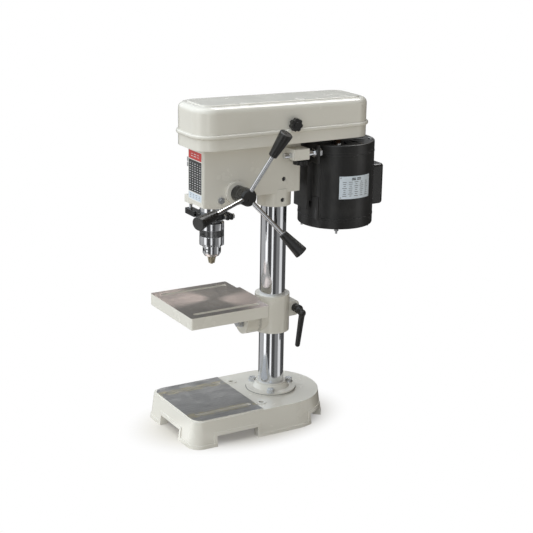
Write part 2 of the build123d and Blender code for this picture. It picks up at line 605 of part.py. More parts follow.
def chuck_body():
    """The chuck's nose, core and back in one piece, with its key holes."""
    body = upright(CHUCK_NOSE_R, (CHUCK_Z[0], SLEEVE_Z[0] + 1), 0, SPINDLE_Y)
    body = chamfer(body.edges().filter_by(GeomType.CIRCLE).sort_by(Axis.Z)[0], 5, 3)
    body += upright(13, (SLEEVE_Z[0], SLEEVE_Z[1] + 1), 0, SPINDLE_Y)
    back = upright(CHUCK_R, (SLEEVE_Z[1] + GAP, CHUCK_Z[1]), 0, SPINDLE_Y)
    body += chamfer(back.edges().filter_by(GeomType.CIRCLE).sort_by(Axis.Z)[-1], 2.5)
    low = (0, SPINDLE_Y, CHUCK_Z[1] - 16)
    body -= along(low, (0, SPINDLE_Y, QUILL_Z[0] - 1), 6.6, 7.4)
    body -= upright(5.2, (CHUCK_Z[0] - 1, CHUCK_Z[1] - 22), 0, SPINDLE_Y)
    body -= jaw_bores(JAW_R + RUN, JAW_LENGTH + JAW_TRAVEL + 1)
    for step in range(3):
        x, y = polar(30, 30 + 120 * step, 0, SPINDLE_Y)
        centre = (0, SPINDLE_Y, CHUCK_Z[0] + 12)
        body -= along(centre, (x, y, CHUCK_Z[0] + 12), 3)
    return body


def chuck_sleeve():
    """The turning sleeve: a toothed lower edge, a knurled band and the jaw nut."""
    body = upright(CHUCK_R, SLEEVE_Z, 0, SPINDLE_Y)
    body -= upright(19.2, (SLEEVE_Z[0] + 8, SLEEVE_Z[1] + 1), 0, SPINDLE_Y)
    body -= upright(CHUCK_NOSE_R + GAP, (SLEEVE_Z[0] - 1, SLEEVE_Z[0] + 2), 0, SPINDLE_Y)
    body -= along((0, SPINDLE_Y, SLEEVE_Z[0] + 1), (0, SPINDLE_Y, SLEEVE_Z[0] + 9), 15.2, 16.8)
    knurl = (SLEEVE_Z[1] - KNURL_HEIGHT, SLEEVE_Z[1] + 1)
    body -= ring(CHUCK_R + 1, CHUCK_R - 0.6, knurl, 0, SPINDLE_Y)
    for step in range(SLEEVE_TEETH):
        turn = Pos(0, SPINDLE_Y, SLEEVE_Z[0]) * Rot(0, 0, 360 / SLEEVE_TEETH * step)
        body -= turn * box((16, 24), (-1.3, 1.3), (-1, 3.2))
    return body


nodes["spindle"] = spindle()
nodes["chuck_body"] = chuck_body()
nodes["chuck_sleeve"] = chuck_sleeve()
for number in range(3):
    nodes[f"chuck_jaw_{number + 1}"] = chuck_jaw(number)

# ------------------------------------------------------------------------- belt drive


def ball_bearing(outer, inner, z, x, y):
    """A ball bearing as two rings and a cage of balls."""
    width, middle = z[1] - z[0], (outer + inner) / 2
    third = (outer - inner) / 3.4
    races = ring(outer, outer - third, z, x, y) + ring(inner + third, inner, z, x, y)
    cage = ring(middle + 1, middle - 1, (z[0] + width * 0.3, z[1] - width * 0.3), x, y)
    for step in range(8):
        bx, by = polar(middle, 45 * step, x, y)
        cage += Pos(bx, by, z[0] + width / 2) * Sphere((outer - inner) / 2 - third + 0.2)
    return races + cage


def stepped_pulley(centre_y, radii):
    """A five-step V pulley, its steps from the bottom up."""
    body = Part()
    for step, radius in enumerate(radii):
        z = PULLEY_Z + STEP_HEIGHT * step
        body += upright(radius, (z, z + STEP_HEIGHT), 0, centre_y)
    for step, radius in enumerate(radii):
        z = PULLEY_Z + STEP_HEIGHT * step
        half, inner = STEP_HEIGHT / 2 - 1, radius - BELT_DEPTH
        profile = [(radius + 1, -half), (inner, -half + 2), (inner, half - 2), (radius + 1, half)]
        face = Plane.XZ * make_face(Polyline(*profile, close=True))
        body -= Pos(0, centre_y, z + STEP_HEIGHT / 2) * revolve(face, Axis.Z)
    return body


def spindle_pulley():
    """The driven pulley on its splined sleeve."""
    bottom = HEAD_TOP - 21
    body = stepped_pulley(SPINDLE_Y, SPINDLE_STEPS)
    body += upright(10, (bottom, PULLEY_Z + 1), 0, SPINDLE_Y)
    return body - splines((bottom - 1, SPINDLE_TOP + 20), RUN)


def belt_section(inner):
    """The belt's trapezoid, with its narrow side at the inner radius."""
    outer = inner + BELT_DEPTH - 1.1
    return Polyline((inner, -2.2), (outer, -3.6), (outer, 3.6), (inner, 2.2), close=True)


def v_belt():
    """The V belt in the middle step of both pulleys: two arcs and two straight runs."""
    middle, distance = PULLEY_Z + STEP_HEIGHT * 2.5, MOTOR_Y - SPINDLE_Y
    front, rear = (steps[2] - BELT_DEPTH + GAP for steps in (SPINDLE_STEPS, MOTOR_STEPS))
    lean = degrees(asin((front - rear) / distance))
    run = (distance**2 - (front - rear)**2) ** 0.5
    body = Part()
    for inner, y, first, span in ((front, SPINDLE_Y, 180 - lean, 180 + 2 * lean),
                                  (rear, MOTOR_Y, lean, 180 - 2 * lean)):
        section = Plane.XZ * make_face(belt_section(inner))
        arc = revolve(section, Axis.Z, span)
        body += Pos(0, y, middle) * Rot(0, 0, first) * arc
    for angle in (lean, 180 - lean):
        outward = Vector(cos(radians(angle)), sin(radians(angle)), 0)
        forward = Vector(-outward.Y, outward.X, 0) * (1 if angle < 90 else -1)
        plane = Plane(origin=(0, SPINDLE_Y, middle), x_dir=outward, z_dir=forward)
        body += extrude(plane * make_face(belt_section(front)), run)
    return body


nodes["spindle_pulley"] = spindle_pulley()
nodes["v_belt"] = v_belt()
nodes["quill_bearings"] = Compound([
    ball_bearing(QUILL_BORE_R, SPINDLE_R, z, 0, SPINDLE_Y)
    for z in ((QUILL_Z[0], QUILL_Z[0] + 11), (QUILL_Z[1] - 11, QUILL_Z[1]))
])
nodes["pulley_bearings"] = Compound([
    ball_bearing(17, 10 + RUN, z, 0, SPINDLE_Y) for z in ((493, 502), (504.5, 513.5))
])

# ------------------------------------------------------------------------ belt guard


def guard_pan():
    """The pan under the belt, bolted to the head, with the lid's latch tab."""
    inside = (GUARD_Y[0] + GUARD_SKIN, GUARD_Y[1] - GUARD_SKIN)
    body = rounded_plan(GUARD_HALF, GUARD_Y, GUARD_CORNER, (GUARD_BOTTOM, GUARD_SPLIT - GAP))
    hollow = (GUARD_BOTTOM + 3, GUARD_SPLIT + 1)
    body -= rounded_plan(GUARD_HALF - GUARD_SKIN, inside, GUARD_CORNER - GUARD_SKIN, hollow)
    body -= upright(13, (GUARD_BOTTOM - 1, GUARD_BOTTOM + 4), 0, SPINDLE_Y)
    shaft_room = (MOTOR_Y - MOUNT_TRAVEL - 26, MOTOR_Y + 26)
    body -= slot_cut(0, shaft_room, (GUARD_BOTTOM - 1, GUARD_BOTTOM + 4), 26)
    return body + latch_tab()


def latch_tab():
    """The notched tab inside the pan that the lid's screw drops into."""
    face, y = GUARD_HALF - GUARD_SKIN - 0.6, (LID_KNOB_Y - 9, LID_KNOB_Y + 9)
    tab = box((face - 3, face), y, (GUARD_BOTTOM + 2, LID_KNOB_Z + 6))
    tab += box((face - 3, face + 1.1), y, (GUARD_BOTTOM + 2, GUARD_SPLIT - 3))
    tab -= across((40, 60), LID_KNOB_Y, LID_KNOB_Z, 3.6)
    notch = (LID_KNOB_Y - 3.6, LID_KNOB_Y + 3.6)
    return tab - box((40, 60), notch, (LID_KNOB_Z, LID_KNOB_Z + 10))


def lid_form(inset, z, shoulder):
    """The lid's block, inset from its outside, with a falling top and a round shoulder."""
    y = (GUARD_Y[0] + inset, GUARD_Y[1] - inset)
    block = rounded_plan(GUARD_HALF - inset, y, GUARD_CORNER - inset, z)
    slope = degrees(atan(GUARD_FALL / (GUARD_Y[1] - GUARD_Y[0])))
    above = Pos(0, GUARD_Y[0], z[1]) * Rot(-slope, 0, 0) * Box(200, 900, 30, align=STAND)
    block -= above
    return fillet(block.faces().sort_by(Axis.Z)[-1].edges(), shoulder)


def guard_lid():
    """The hinged lid: straight sides, a rounded shoulder, a crown and a beaded rim."""
    skin_top = GUARD_TOP - CROWN_HEIGHT
    body = lid_form(0, (GUARD_SPLIT, skin_top), GUARD_SHOULDER)
    body += lid_form(CROWN_INSET, (GUARD_SPLIT + 30, GUARD_TOP), CROWN_HEIGHT * 0.9)
    room = lid_form(GUARD_SKIN, (GUARD_SPLIT - 1, skin_top - GUARD_SKIN), GUARD_SHOULDER - 2)
    out = (GUARD_Y[0] - GUARD_BEAD, GUARD_Y[1] + GUARD_BEAD)
    bead = rounded_plan(GUARD_HALF + GUARD_BEAD, out, GUARD_CORNER + GUARD_BEAD,
                        (GUARD_SPLIT, GUARD_SPLIT + 6.5))
    bead = fillet(bead.edges().group_by(Axis.Z)[-1] + bead.edges().group_by(Axis.Z)[0], 2.6)
    return body + bead - room - across((45, 60), LID_KNOB_Y, LID_KNOB_Z, 3 + RUN)


def hinge_half(fixed):
    """Two butt hinge halves: the fixed ones carry the pins."""
    pieces = []
    for middle in HINGE_YS:
        sections = ((-15, -5.2), (5.2, 15)) if fixed else ((-5, 5),)
        wall = -GUARD_HALF if fixed else -GUARD_HALF - GUARD_BEAD
        z = (HINGE_Z - 14, HINGE_Z) if fixed else (HINGE_Z - 1.5, HINGE_Z + 1.5)
        piece = Part()
        for first, last in sections:
            y = (middle + first, middle + last)
            piece += lengthwise(y, HINGE_X, HINGE_Z, HINGE_R)
            leaf_x = (HINGE_X - HINGE_R, HINGE_X - HINGE_R + 1.6) if fixed else (HINGE_X, wall)
            piece += box(leaf_x, y, z)
        if fixed:
            y = (middle - 15, middle + 15)
            piece += box((HINGE_X - HINGE_R, wall), y, (HINGE_Z - 16, HINGE_Z - 10))
            piece += lengthwise(y, HINGE_X, HINGE_Z, 1.5)
        else:
            hole = lengthwise((middle - 20, middle + 20), HINGE_X, HINGE_Z, 1.5 + RUN)
            piece -= hole
        pieces.append(piece)
    return Compound(pieces)


def lobed_knob(radius, thickness, lobes=7):
    """A lobed knob that stands on its own origin along +Z."""
    knob = Cylinder(radius, thickness, align=STAND)
    for step in range(lobes):
        x, y = polar(radius + 1.2, 360 / lobes * step)
        knob -= upright(3, (-1, thickness + 1), x, y)
    return knob + Cylinder(radius * 0.45, thickness + 1.5, align=STAND)


def lid_knob():
    """The knob that locks the lid, with its screw through the lid's side."""
    back = GUARD_HALF + GUARD_BEAD + GAP
    knob = Pos(back, LID_KNOB_Y, LID_KNOB_Z) * Rot(0, 90, 0) * lobed_knob(11.5, 8)
    knob += across((GUARD_HALF + GAP, back), LID_KNOB_Y, LID_KNOB_Z, 6)
    return knob + across((46, GUARD_HALF + 1), LID_KNOB_Y, LID_KNOB_Z, 3)


nodes["belt_guard_pan"] = guard_pan()
nodes["belt_guard_lid"] = guard_lid()
nodes["pan_hinges"] = hinge_half(True)
nodes["lid_hinges"] = hinge_half(False)
nodes["lid_knob"] = lid_knob()

# ------------------------------------------------------------------------------ motor


def motor_plate():
    """The T-shaped plate between the slide bars and the motor."""
    body = box((-22, 22), PLATE_Y, (386, 476)) + box((-54, 54), PLATE_Y, (474, 506))
    for hand in (-1, 1):
        body -= lengthwise((50, 70), hand * BAR_X, BAR_Z, BAR_R)
    return body


def slide_bars():
    """The two bars that the motor slides on, each with a shoulder."""
    bars = []
    for hand in (-1, 1):
        bar = lengthwise(BAR_Y, hand * BAR_X, BAR_Z, BAR_R)
        bar += lengthwise((PLATE_Y[0] - 3, PLATE_Y[0]), hand * BAR_X, BAR_Z, 8)
        bars.append(bar)
    return Compound(bars)


def bar_nuts():
    """The nuts that clamp the plate to its bars."""
    nuts = []
    for hand in (-1, 1):
        nut = hexagon((hand * BAR_X, PLATE_Y[1], BAR_Z), (0, 1, 0), 15, 6)
        nuts.append(nut - lengthwise((50, 80), hand * BAR_X, BAR_Z, BAR_R))
    return Compound(nuts)


def motor_shell():
    """The motor's drum with its mounting pad towards the plate."""
    z = (MOTOR_Z[0] + MOTOR_BELL, MOTOR_Z[1] - MOTOR_BELL)
    body = upright(MOTOR_R, z, 0, MOTOR_Y)
    body += box((-22, 22), (PLATE_Y[1], MOTOR_Y - 50), (400, 470))
    return body - upright(MOTOR_R - MOTOR_SKIN, (z[0] - 1, z[1] + 1), 0, MOTOR_Y)


def motor_bell(outer_z, inner_z):
    """A cupped end bell with a bearing seat and a ring of air slots."""
    low, high = min(outer_z, inner_z), max(outer_z, inner_z)
    bell = upright(MOTOR_R, (low, high), 0, MOTOR_Y)
    rim = bell.edges().filter_by(GeomType.CIRCLE).sort_by(Axis.Z)
    bell = fillet(rim[0] if outer_z < inner_z else rim[-1], 2.5)
    face = outer_z + (4 if outer_z < inner_z else -4)
    bell -= upright(MOTOR_R - 4, (min(face, inner_z), max(face, inner_z)), 0, MOTOR_Y)
    bell += upright(20, (min(face, inner_z), max(face, inner_z)), 0, MOTOR_Y)
    bell -= upright(16, (min(face, inner_z), max(face, inner_z)), 0, MOTOR_Y)
    bell -= upright(MOTOR_SHAFT_R + 1, (low - 1, high + 1), 0, MOTOR_Y)
    for step in range(12):
        x, y = polar(40, 30 * step + 15, 0, MOTOR_Y)
        slot = Pos(x, y, low - 1) * Rot(0, 0, 30 * step + 15) * SlotOverall(22, 6)
        bell -= extrude(slot, high - low + 2)
    for step in range(4):
        x, y = polar(60, 90 * step - 30, 0, MOTOR_Y)
        bell -= upright(2, (low - 1, high + 1), x, y)
    return bell


def through_bolts():
    """The four long bolts that hold the motor's ends together."""
    bolts = []
    for step in range(4):
        x, y = polar(60, 90 * step - 30, 0, MOTOR_Y)
        bolt = upright(2, (MOTOR_Z[0] - 9, MOTOR_Z[1]), x, y)
        bolt += hexagon((x, y, MOTOR_Z[0] - 4), (0, 0, 1), 7, 4)
        bolts.append(bolt + upright(4, (MOTOR_Z[1], MOTOR_Z[1] + 2.5), x, y))
    return Compound(bolts)


def stator():
    """The wound iron core inside the shell."""
    core = ring(MOTOR_R - MOTOR_SKIN, 36, (400, 460), 0, MOTOR_Y)
    for step in range(4):
        x, y = polar(60, 90 * step - 30, 0, MOTOR_Y)
        core -= upright(2.3, (390, 470), x, y)
    return core + ring(56, 38, (386, 474), 0, MOTOR_Y)


def rotor():
    """The motor's shaft with its squirrel-cage core and cooling fan."""
    body = upright(MOTOR_SHAFT_R, (MOTOR_Z[0] + 5, PULLEY_Z + 56), 0, MOTOR_Y)
    body += upright(35, (400, 460), 0, MOTOR_Y) + upright(18, (374, 378), 0, MOTOR_Y)
    for step in range(8):
        blade = Rot(0, 0, 45 * step) * box((15, 34), (-0.8, 0.8), (370, 382))
        body += Pos(0, MOTOR_Y) * blade
    return body + upright(17, (370, 382), 0, MOTOR_Y)


def capacitor_box():
    """The capacitor's cover on the back of the motor."""
    half = CAPACITOR_HALF
    body = box((-half, half), (MOTOR_Y + 50, CAPACITOR_Y), CAPACITOR_Z)
    back = body.edges().filter_by(Axis.Z).group_by(Axis.Y)[-1]
    body = fillet(back, 9)
    body = fillet(body.faces().sort_by(Axis.Y)[-1].edges(), 5)
    return body - upright(MOTOR_R, (300, 520), 0, MOTOR_Y)


def motor_pulley():
    """The driving pulley, its steps reversed, fixed on the motor shaft."""
    body = stepped_pulley(MOTOR_Y, MOTOR_STEPS)
    return body - upright(MOTOR_SHAFT_R, (500, 600), 0, MOTOR_Y)


nodes["motor_plate"] = motor_plate()
nodes["slide_bars"] = slide_bars()
nodes["slide_bar_nuts"] = bar_nuts()
nodes["motor_shell"] = motor_shell()
nodes["motor_bottom_bell"] = motor_bell(MOTOR_Z[0], MOTOR_Z[0] + MOTOR_BELL)
nodes["motor_top_bell"] = motor_bell(MOTOR_Z[1], MOTOR_Z[1] - MOTOR_BELL)
nodes["motor_through_bolts"] = through_bolts()
nodes["stator"] = stator()
nodes["rotor"] = rotor()
nodes["motor_bearings"] = Compound([
    ball_bearing(16, MOTOR_SHAFT_R + RUN, z, 0, MOTOR_Y)
    for z in ((MOTOR_Z[0] + 4, MOTOR_Z[0] + 13), (MOTOR_Z[1] - 13, MOTOR_Z[1] - 4))
])
nodes["capacitor_box"] = capacitor_box()
nodes["motor_pulley"] = motor_pulley()
for side, hand in (("left", -1), ("right", 1)):
    knob = Pos(0, 0, -9) * lobed_knob(14.5, 7, 5)
    knob += upright(4, (-3, 7 - RUN))
    knob = Pos(hand * BAR_X, sum(LUG_Y) / 2 + 6, LUG_Z[0] - GAP) * knob
    nodes[f"slide_lock_knob_{side}"] = knob & box((-90, 90), (0, 60), (470, BAR_Z - BAR_R))

# ------------------------------------------------------------------------ switch box


def switch_box():
    """The switch's case on the left of the head, open where its buttons travel."""
    body = box((SWITCH_X, -HEAD_HALF), SWITCH_Y, SWITCH_Z)
    left_edges = body.faces().sort_by(Axis.X)[0].edges()
    body = fillet(left_edges, 4)
    body -= box((SWITCH_X + 3, -HEAD_HALF - 3), (SWITCH_Y[0] + 3, SWITCH_Y[1] - 3),
                (SWITCH_Z[0] + 3, SWITCH_Z[1] - 3))
    for y in button_places():
        body -= across((SWITCH_X - 1, SWITCH_X + 5), y, sum(SWITCH_Z) / 2, 9 + GAP)
    gland_y = sum(SWITCH_Y) / 2
    return body - upright(6, (SWITCH_Z[0] - 1, SWITCH_Z[0] + 5), -42, gland_y)


def button_places():
    """The Y places of the stop and start buttons."""
    middle = sum(SWITCH_Y) / 2
    return middle - 15, middle + 15


def button(y, proud):
    """A push button with a flange that keeps it in the case."""
    z = sum(SWITCH_Z) / 2
    body = across((SWITCH_X - proud, SWITCH_X + 8), y, z, 9)
    body = fillet(body.edges().filter_by(GeomType.CIRCLE).sort_by(Axis.X)[0], 1)
    return body + across((SWITCH_X + 3 + 2 * GAP, SWITCH_X + 6), y, z, 11)


def cord_gland():
    """The gland that the mains cord would pass through, under the switch box."""
    y, low = sum(SWITCH_Y) / 2, SWITCH_Z[0]
    body = hexagon((-42, y, low - 6), (0, 0, 1), 15, 6) + upright(6, (low, low + 6), -42, y)
    body += along((-42, y, low - 12), (-42, y, low - 6), 5, 7)
    return body - upright(3.5, (low - 20, low + 20), -42, y)


nodes["switch_box"] = switch_box()
nodes["stop_button"] = button(button_places()[0], 4)
nodes["start_button"] = button(button_places()[1], 1.5)
nodes["cord_gland"] = cord_gland()

os.makedirs("parts", exist_ok=True)
for name, shape in nodes.items():
    export_step(shape, f"parts/{name}.step")
    print(name, len(shape.solids()))
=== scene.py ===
# %% [markdown]
# # A bench drill press, from packed parts to a finished picture
# The packed model gives every solid part in its true place, in metres, with Z up and the column's
# axis as Z. This lesson adds what a solid model leaves out: paint, ground iron, chrome, threads,
# a knurl, labels and rivets. The first cell loads the frame. Nothing that is added later may make
# the machine any bigger.

# %% Load the frame
import bpy, json, math
from mathutils import Matrix, Vector


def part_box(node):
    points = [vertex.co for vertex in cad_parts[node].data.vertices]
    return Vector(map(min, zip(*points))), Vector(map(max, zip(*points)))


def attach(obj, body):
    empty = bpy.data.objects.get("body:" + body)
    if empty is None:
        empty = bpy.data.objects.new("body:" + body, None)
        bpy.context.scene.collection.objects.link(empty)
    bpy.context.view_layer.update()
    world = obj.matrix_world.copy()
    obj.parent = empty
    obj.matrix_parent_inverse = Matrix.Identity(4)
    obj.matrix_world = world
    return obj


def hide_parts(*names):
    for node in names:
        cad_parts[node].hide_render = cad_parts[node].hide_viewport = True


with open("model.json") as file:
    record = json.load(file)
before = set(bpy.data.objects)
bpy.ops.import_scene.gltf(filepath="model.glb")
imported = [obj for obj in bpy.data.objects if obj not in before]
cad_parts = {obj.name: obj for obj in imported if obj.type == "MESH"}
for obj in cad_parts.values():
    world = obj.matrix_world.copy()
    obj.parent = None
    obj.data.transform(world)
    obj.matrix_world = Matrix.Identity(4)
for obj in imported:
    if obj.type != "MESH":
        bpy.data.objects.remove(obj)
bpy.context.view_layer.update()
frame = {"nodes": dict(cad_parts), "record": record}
nodes, scene, MM = frame["nodes"], bpy.context.scene, 0.001

# %% [markdown]
# ## The camera
# A catalogue view looks down a little from the front right with a long lens, so that upright
# edges stay nearly parallel. The camera is placed from an aim point, a direction and a distance,
# and its three axes are written straight into its matrix, because that says exactly what it sees.

# %% Place the camera
AIM, DISTANCE, LENS = Vector((-0.02176, 0.0, 0.27423)), 2.4052, 89.5
AZIMUTH, ELEVATION, ROLL = (math.radians(angle) for angle in (59.39, 16.81, 0.98))

back = Vector((math.sin(AZIMUTH) * math.cos(ELEVATION), -math.cos(AZIMUTH) * math.cos(ELEVATION),
               math.sin(ELEVATION)))
level = Vector((math.cos(AZIMUTH), math.sin(AZIMUTH), 0))
upward = back.cross(level)
right = level * math.cos(ROLL) + upward * math.sin(ROLL)
top = upward * math.cos(ROLL) - level * math.sin(ROLL)
camera = bpy.data.objects.new("camera", bpy.data.cameras.new("camera"))
scene.collection.objects.link(camera)
camera.data.lens = LENS
facing_out = Matrix((right, top, back)).transposed().to_4x4()
camera.matrix_world = Matrix.Translation(AIM + back * DISTANCE) @ facing_out
scene.camera = camera
scene.view_settings.view_transform = "Standard"
print("camera at", [round(v, 3) for v in camera.matrix_world.translation])

# %% [markdown]
# ## One way to write nodes
# A shader is a sum of small steps. Written as single nodes it is long and hard to read, so a
# small class wraps a socket and turns Python's own operators into Math nodes, also when the
# plain number comes first. Every other node comes from one method, which sets the node's
# settings and then gives its sockets a value or a link. The same method builds Geometry Nodes.

# %% A wrapper for sockets and a builder for nodes
class Value:
    """A socket of a node tree. Arithmetic on it adds Math nodes."""

    def __init__(self, tree, socket):
        self.tree, self.socket = tree, socket

    def math(self, operation, *others):
        return self.tree.add("ShaderNodeMath", {"operation": operation},
                             dict(enumerate((self, *others))))

    def math_after(self, operation, first):
        return self.tree.add("ShaderNodeMath", {"operation": operation}, {0: first, 1: self})

    def __add__(self, other):
        return self.math("ADD", other)

    def __sub__(self, other):
        return self.math("SUBTRACT", other)

    def __rsub__(self, other):
        return self.math_after("SUBTRACT", other)

    def __mul__(self, other):
        return self.math("MULTIPLY", other)

    def __truediv__(self, other):
        return self.math("DIVIDE", other)

    def __gt__(self, other):
        return self.math("GREATER_THAN", other)

    def __lt__(self, other):
        return self.math("LESS_THAN", other)

    __radd__, __rmul__ = __add__, __mul__


class Nodes:
    """Adds nodes to a material, a world or a Geometry Nodes group."""

    def __init__(self, tree):
        self.tree = tree

    def add(self, kind, settings=None, inputs=None, output=0):
        node = self.tree.nodes.new(kind)
        for name, value in (settings or {}).items():
            setattr(node, name, value)
        for name, value in (inputs or {}).items():
            socket = self.find(node.inputs, name)
            if isinstance(value, Value):
                self.tree.links.new(value.socket, socket)
            else:
                socket.default_value = value
        return Value(self, self.find(node.outputs, output)) if node.outputs else node

    @staticmethod
    def find(sockets, name):
        if isinstance(name, int):
            return sockets[name]
        return next(s for s in sockets if name in (s.identifier, s.name))

    def mix(self, share, first, second):
        """A colour between two, by a share from 0 to 1."""
        return self.add("ShaderNodeMix", {"data_type": "RGBA"},
                        {"Factor_Float": share, "A_Color": first, "B_Color": second}, "Result_Color")

    def vector(self, operation, *values, output=0):
        return self.add("ShaderNodeVectorMath", {"operation": operation}, dict(enumerate(values)),
                        output)

    def part(self, vector, letter):
        return self.add("ShaderNodeSeparateXYZ", {}, {"Vector": vector}, letter)

    def ease(self, value, low, high, out_low=0.0, out_high=1.0):
        """Maps low to out_low and high to out_high, smoothly, and holds outside."""
        ends = {"From Min": low, "From Max": high, "To Min": out_low, "To Max": out_high}
        return self.add("ShaderNodeMapRange", {"interpolation_type": "SMOOTHSTEP"},
                        {"Value": value, **ends})


print("a socket takes", sum(name.startswith("__") for name in vars(Value)), "special methods")

# %% [markdown]
# ## Light and floor
# Chrome and enamel show the room as much as themselves. The machine stands on a glowing floor in a
# white room that is bright and cool towards the front and dim and warm behind, so the front faces
# are lighter than the handle side. A weak sun adds a little shape. Reflections see something else:
# upright bands of white, grey and black paper at every compass angle, on the floor as well as
# round the room. They give the column and the chuck the straight bands polished steel has. A
# soft lamp overhead, which only reflections see too, lights the rounded shoulders.

# %% The bands that reflections see
BANDS = {"left_grey": (-160, -106, 0.42), "left_white": (-102, -78, 1.35),
         "narrow_white": (-42, -29, 1.25), "right_grey": (0, 34, 0.17),
         "right_white": (36, 60, 0.8)}
DARK_PAPER, BAND_EDGE = 0.08, 5.0


def bands(shader, at):
    """The brightness of the paper in the direction of a place, by its compass angle from +X."""
    angle = shader.part(at, "Y").math("ARCTAN2", shader.part(at, "X")) * (180 / math.pi)
    total = DARK_PAPER
    for first, last, brightness in BANDS.values():
        total = total + (shader.ease(angle, first - BAND_EDGE, first + BAND_EDGE)
                         * shader.ease(angle, last - BAND_EDGE, last + BAND_EDGE, brightness, 0.0))
    return total


print("bands:", len(BANDS))

# %% Sky and key light
SKY_FRONT, SKY_BACK, WHITE = (1.34, 1.45, 1.56, 1), (0.13, 0.105, 0.075, 1), (1, 1, 1, 1)
SKY_TOWARD, SKY_DIMMEST = (-0.30, -0.93, 0.20), -0.75
BANDS_END, SKY_BEGINS = 0.06, 0.24
LAMP_TOWARD, LAMP_COLOUR, LAMP_EDGE = (-0.16, 0.49, 0.86), (8.0, 8.0, 8.0, 1), (0.93, 0.97)
KEY_TOWARD, KEY_POWER, KEY_SPREAD = (0.10, 0.36, -0.92), 1.15, math.radians(60)
KEY_COLOUR = (0.97, 1.0, 1.0)

scene.world = bpy.data.worlds.new("studio")
scene.world.use_nodes = True
scene.world.node_tree.nodes.clear()
sky = Nodes(scene.world.node_tree)
toward = sky.add("ShaderNodeTexCoord", output="Generated")
facing = sky.vector("DOT_PRODUCT", toward, SKY_TOWARD, output="Value")
tone = sky.mix(sky.ease(facing, SKY_DIMMEST, 1.0), SKY_BACK, SKY_FRONT)
height = sky.part(toward, "Z")
striped = sky.mix(sky.ease(height, BANDS_END, SKY_BEGINS), bands(sky, toward), tone)
lamp = sky.ease(sky.vector("DOT_PRODUCT", toward, LAMP_TOWARD, output="Value"), *LAMP_EDGE)
striped = sky.mix(lamp, striped, LAMP_COLOUR)
tone = sky.mix(sky.add("ShaderNodeLightPath", output="Is Glossy Ray"), tone, striped)
seen = sky.add("ShaderNodeLightPath", output="Is Camera Ray")
glow = sky.add("ShaderNodeBackground", {}, {"Color": sky.mix(seen, tone, WHITE), "Strength": 1.0})
sky.add("ShaderNodeOutputWorld", {}, {"Surface": glow})

sun = bpy.data.lights.new("key_light", "SUN")
sun.energy, sun.color, sun.angle = KEY_POWER, KEY_COLOUR, KEY_SPREAD
key = bpy.data.objects.new("key_light", sun)
key.matrix_world = Vector(KEY_TOWARD).to_track_quat("-Z", "Y").to_matrix().to_4x4()
scene.collection.objects.link(key)
print("key light points to", KEY_TOWARD)

# %% [markdown]
# The floor is one very large sheet. Seen straight, it glows evenly white far from the base, and close
# to the base it fades to plain darker paper: a painted shade round the base, on top of the machine's
# real shadow.

# %% Floor
FLOOR_HALF, BASE_HALF, BASE_CENTRE_Y = 40.0, (0.088, 0.133), -0.069
PAPER_COLOUR, GLOW_BEGINS, GLOW_FULL, GLOW_LEAST = (0.62, 0.575, 0.50, 1), 0.9, 1.7, 0.15


def mesh_object(name, points, faces, finish=None):
    """A mesh object at the origin, from points in metres and faces."""
    mesh = bpy.data.meshes.new(name)
    mesh.from_pydata([tuple(p) for p in points], [], faces)
    mesh.update()
    made = bpy.data.objects.new(name, mesh)
    scene.collection.objects.link(made)
    if finish:
        mesh.materials.append(finish)
    return made


def new_material(name):
    """An empty node material and its builder."""
    made = bpy.data.materials.new(name)
    made.use_nodes = True
    made.node_tree.nodes.clear()
    return made, Nodes(made.node_tree)


def paper_finish():
    made, shader = new_material("floor_paper")
    at = shader.add("ShaderNodeTexCoord", output="Object")
    offset = shader.vector("SUBTRACT", at, (0.0, BASE_CENTRE_Y, 0.0))
    away = shader.vector("LENGTH", shader.vector("DIVIDE", offset, (*BASE_HALF, 1.0)), output="Value")
    # painted shade: the glow fades out near the base, leaving darker paper there
    glow_share_with_painted_shade = shader.ease(away, GLOW_BEGINS, GLOW_FULL, GLOW_LEAST, 1.0)
    paper = shader.add("ShaderNodeBsdfDiffuse", {}, {"Color": PAPER_COLOUR})
    lit = shader.add("ShaderNodeEmission", {}, {"Color": WHITE, "Strength": 1.0})
    # the floor as seen straight: an even glow far out, and painted shade of darker paper near the base
    table = shader.add("ShaderNodeMixShader", {}, {0: glow_share_with_painted_shade, 1: paper, 2: lit})
    stripes = shader.add("ShaderNodeEmission", {}, {"Color": WHITE, "Strength": bands(shader, at)})
    seen_straight = shader.add("ShaderNodeLightPath", output="Is Camera Ray")
    mirrored = shader.add("ShaderNodeLightPath", output="Is Glossy Ray")
    found = shader.add("ShaderNodeMixShader", {}, {0: mirrored, 1: paper, 2: stripes})
    found = shader.add("ShaderNodeMixShader", {}, {0: seen_straight, 1: found, 2: table})
    shader.add("ShaderNodeOutputMaterial", {}, {"Surface": found})
    return made


floor = mesh_object("floor", [(-FLOOR_HALF, -FLOOR_HALF, 0), (FLOOR_HALF, -FLOOR_HALF, 0),
                              (FLOOR_HALF, FLOOR_HALF, 0), (-FLOOR_HALF, FLOOR_HALF, 0)],
                    [(0, 1, 2, 3)], paper_finish())
print("floor:", 2 * FLOOR_HALF, "m")

# %% [markdown]
# ## What every finish shares
# Each finish is a Principled shader with a few layers of its own. Places come from Object
# coordinates: a part's place is in its mesh, so these are simply metres in the machine's frame,
# and they stay with the part when it moves. Two masks are used again and again. One finds the
# edges, by comparing the true normal with a rounded one, because paint thins and steel is rubbed
# there. The other compares height with a level, for faces that a machine tool has cut.

# %% Shared layers
def place(shader):
    return shader.add("ShaderNodeTexCoord", output="Object")


def noise(shader, at, scale, detail=2.0):
    return shader.add("ShaderNodeTexNoise", {}, {"Vector": at, "Scale": scale, "Detail": detail})


def stretched(shader, at, scales):
    return shader.add("ShaderNodeMapping", {}, {"Vector": at, "Scale": scales})


def rounded_normal(shader, radius):
    return shader.add("ShaderNodeBevel", {"samples": 4}, {"Radius": radius})


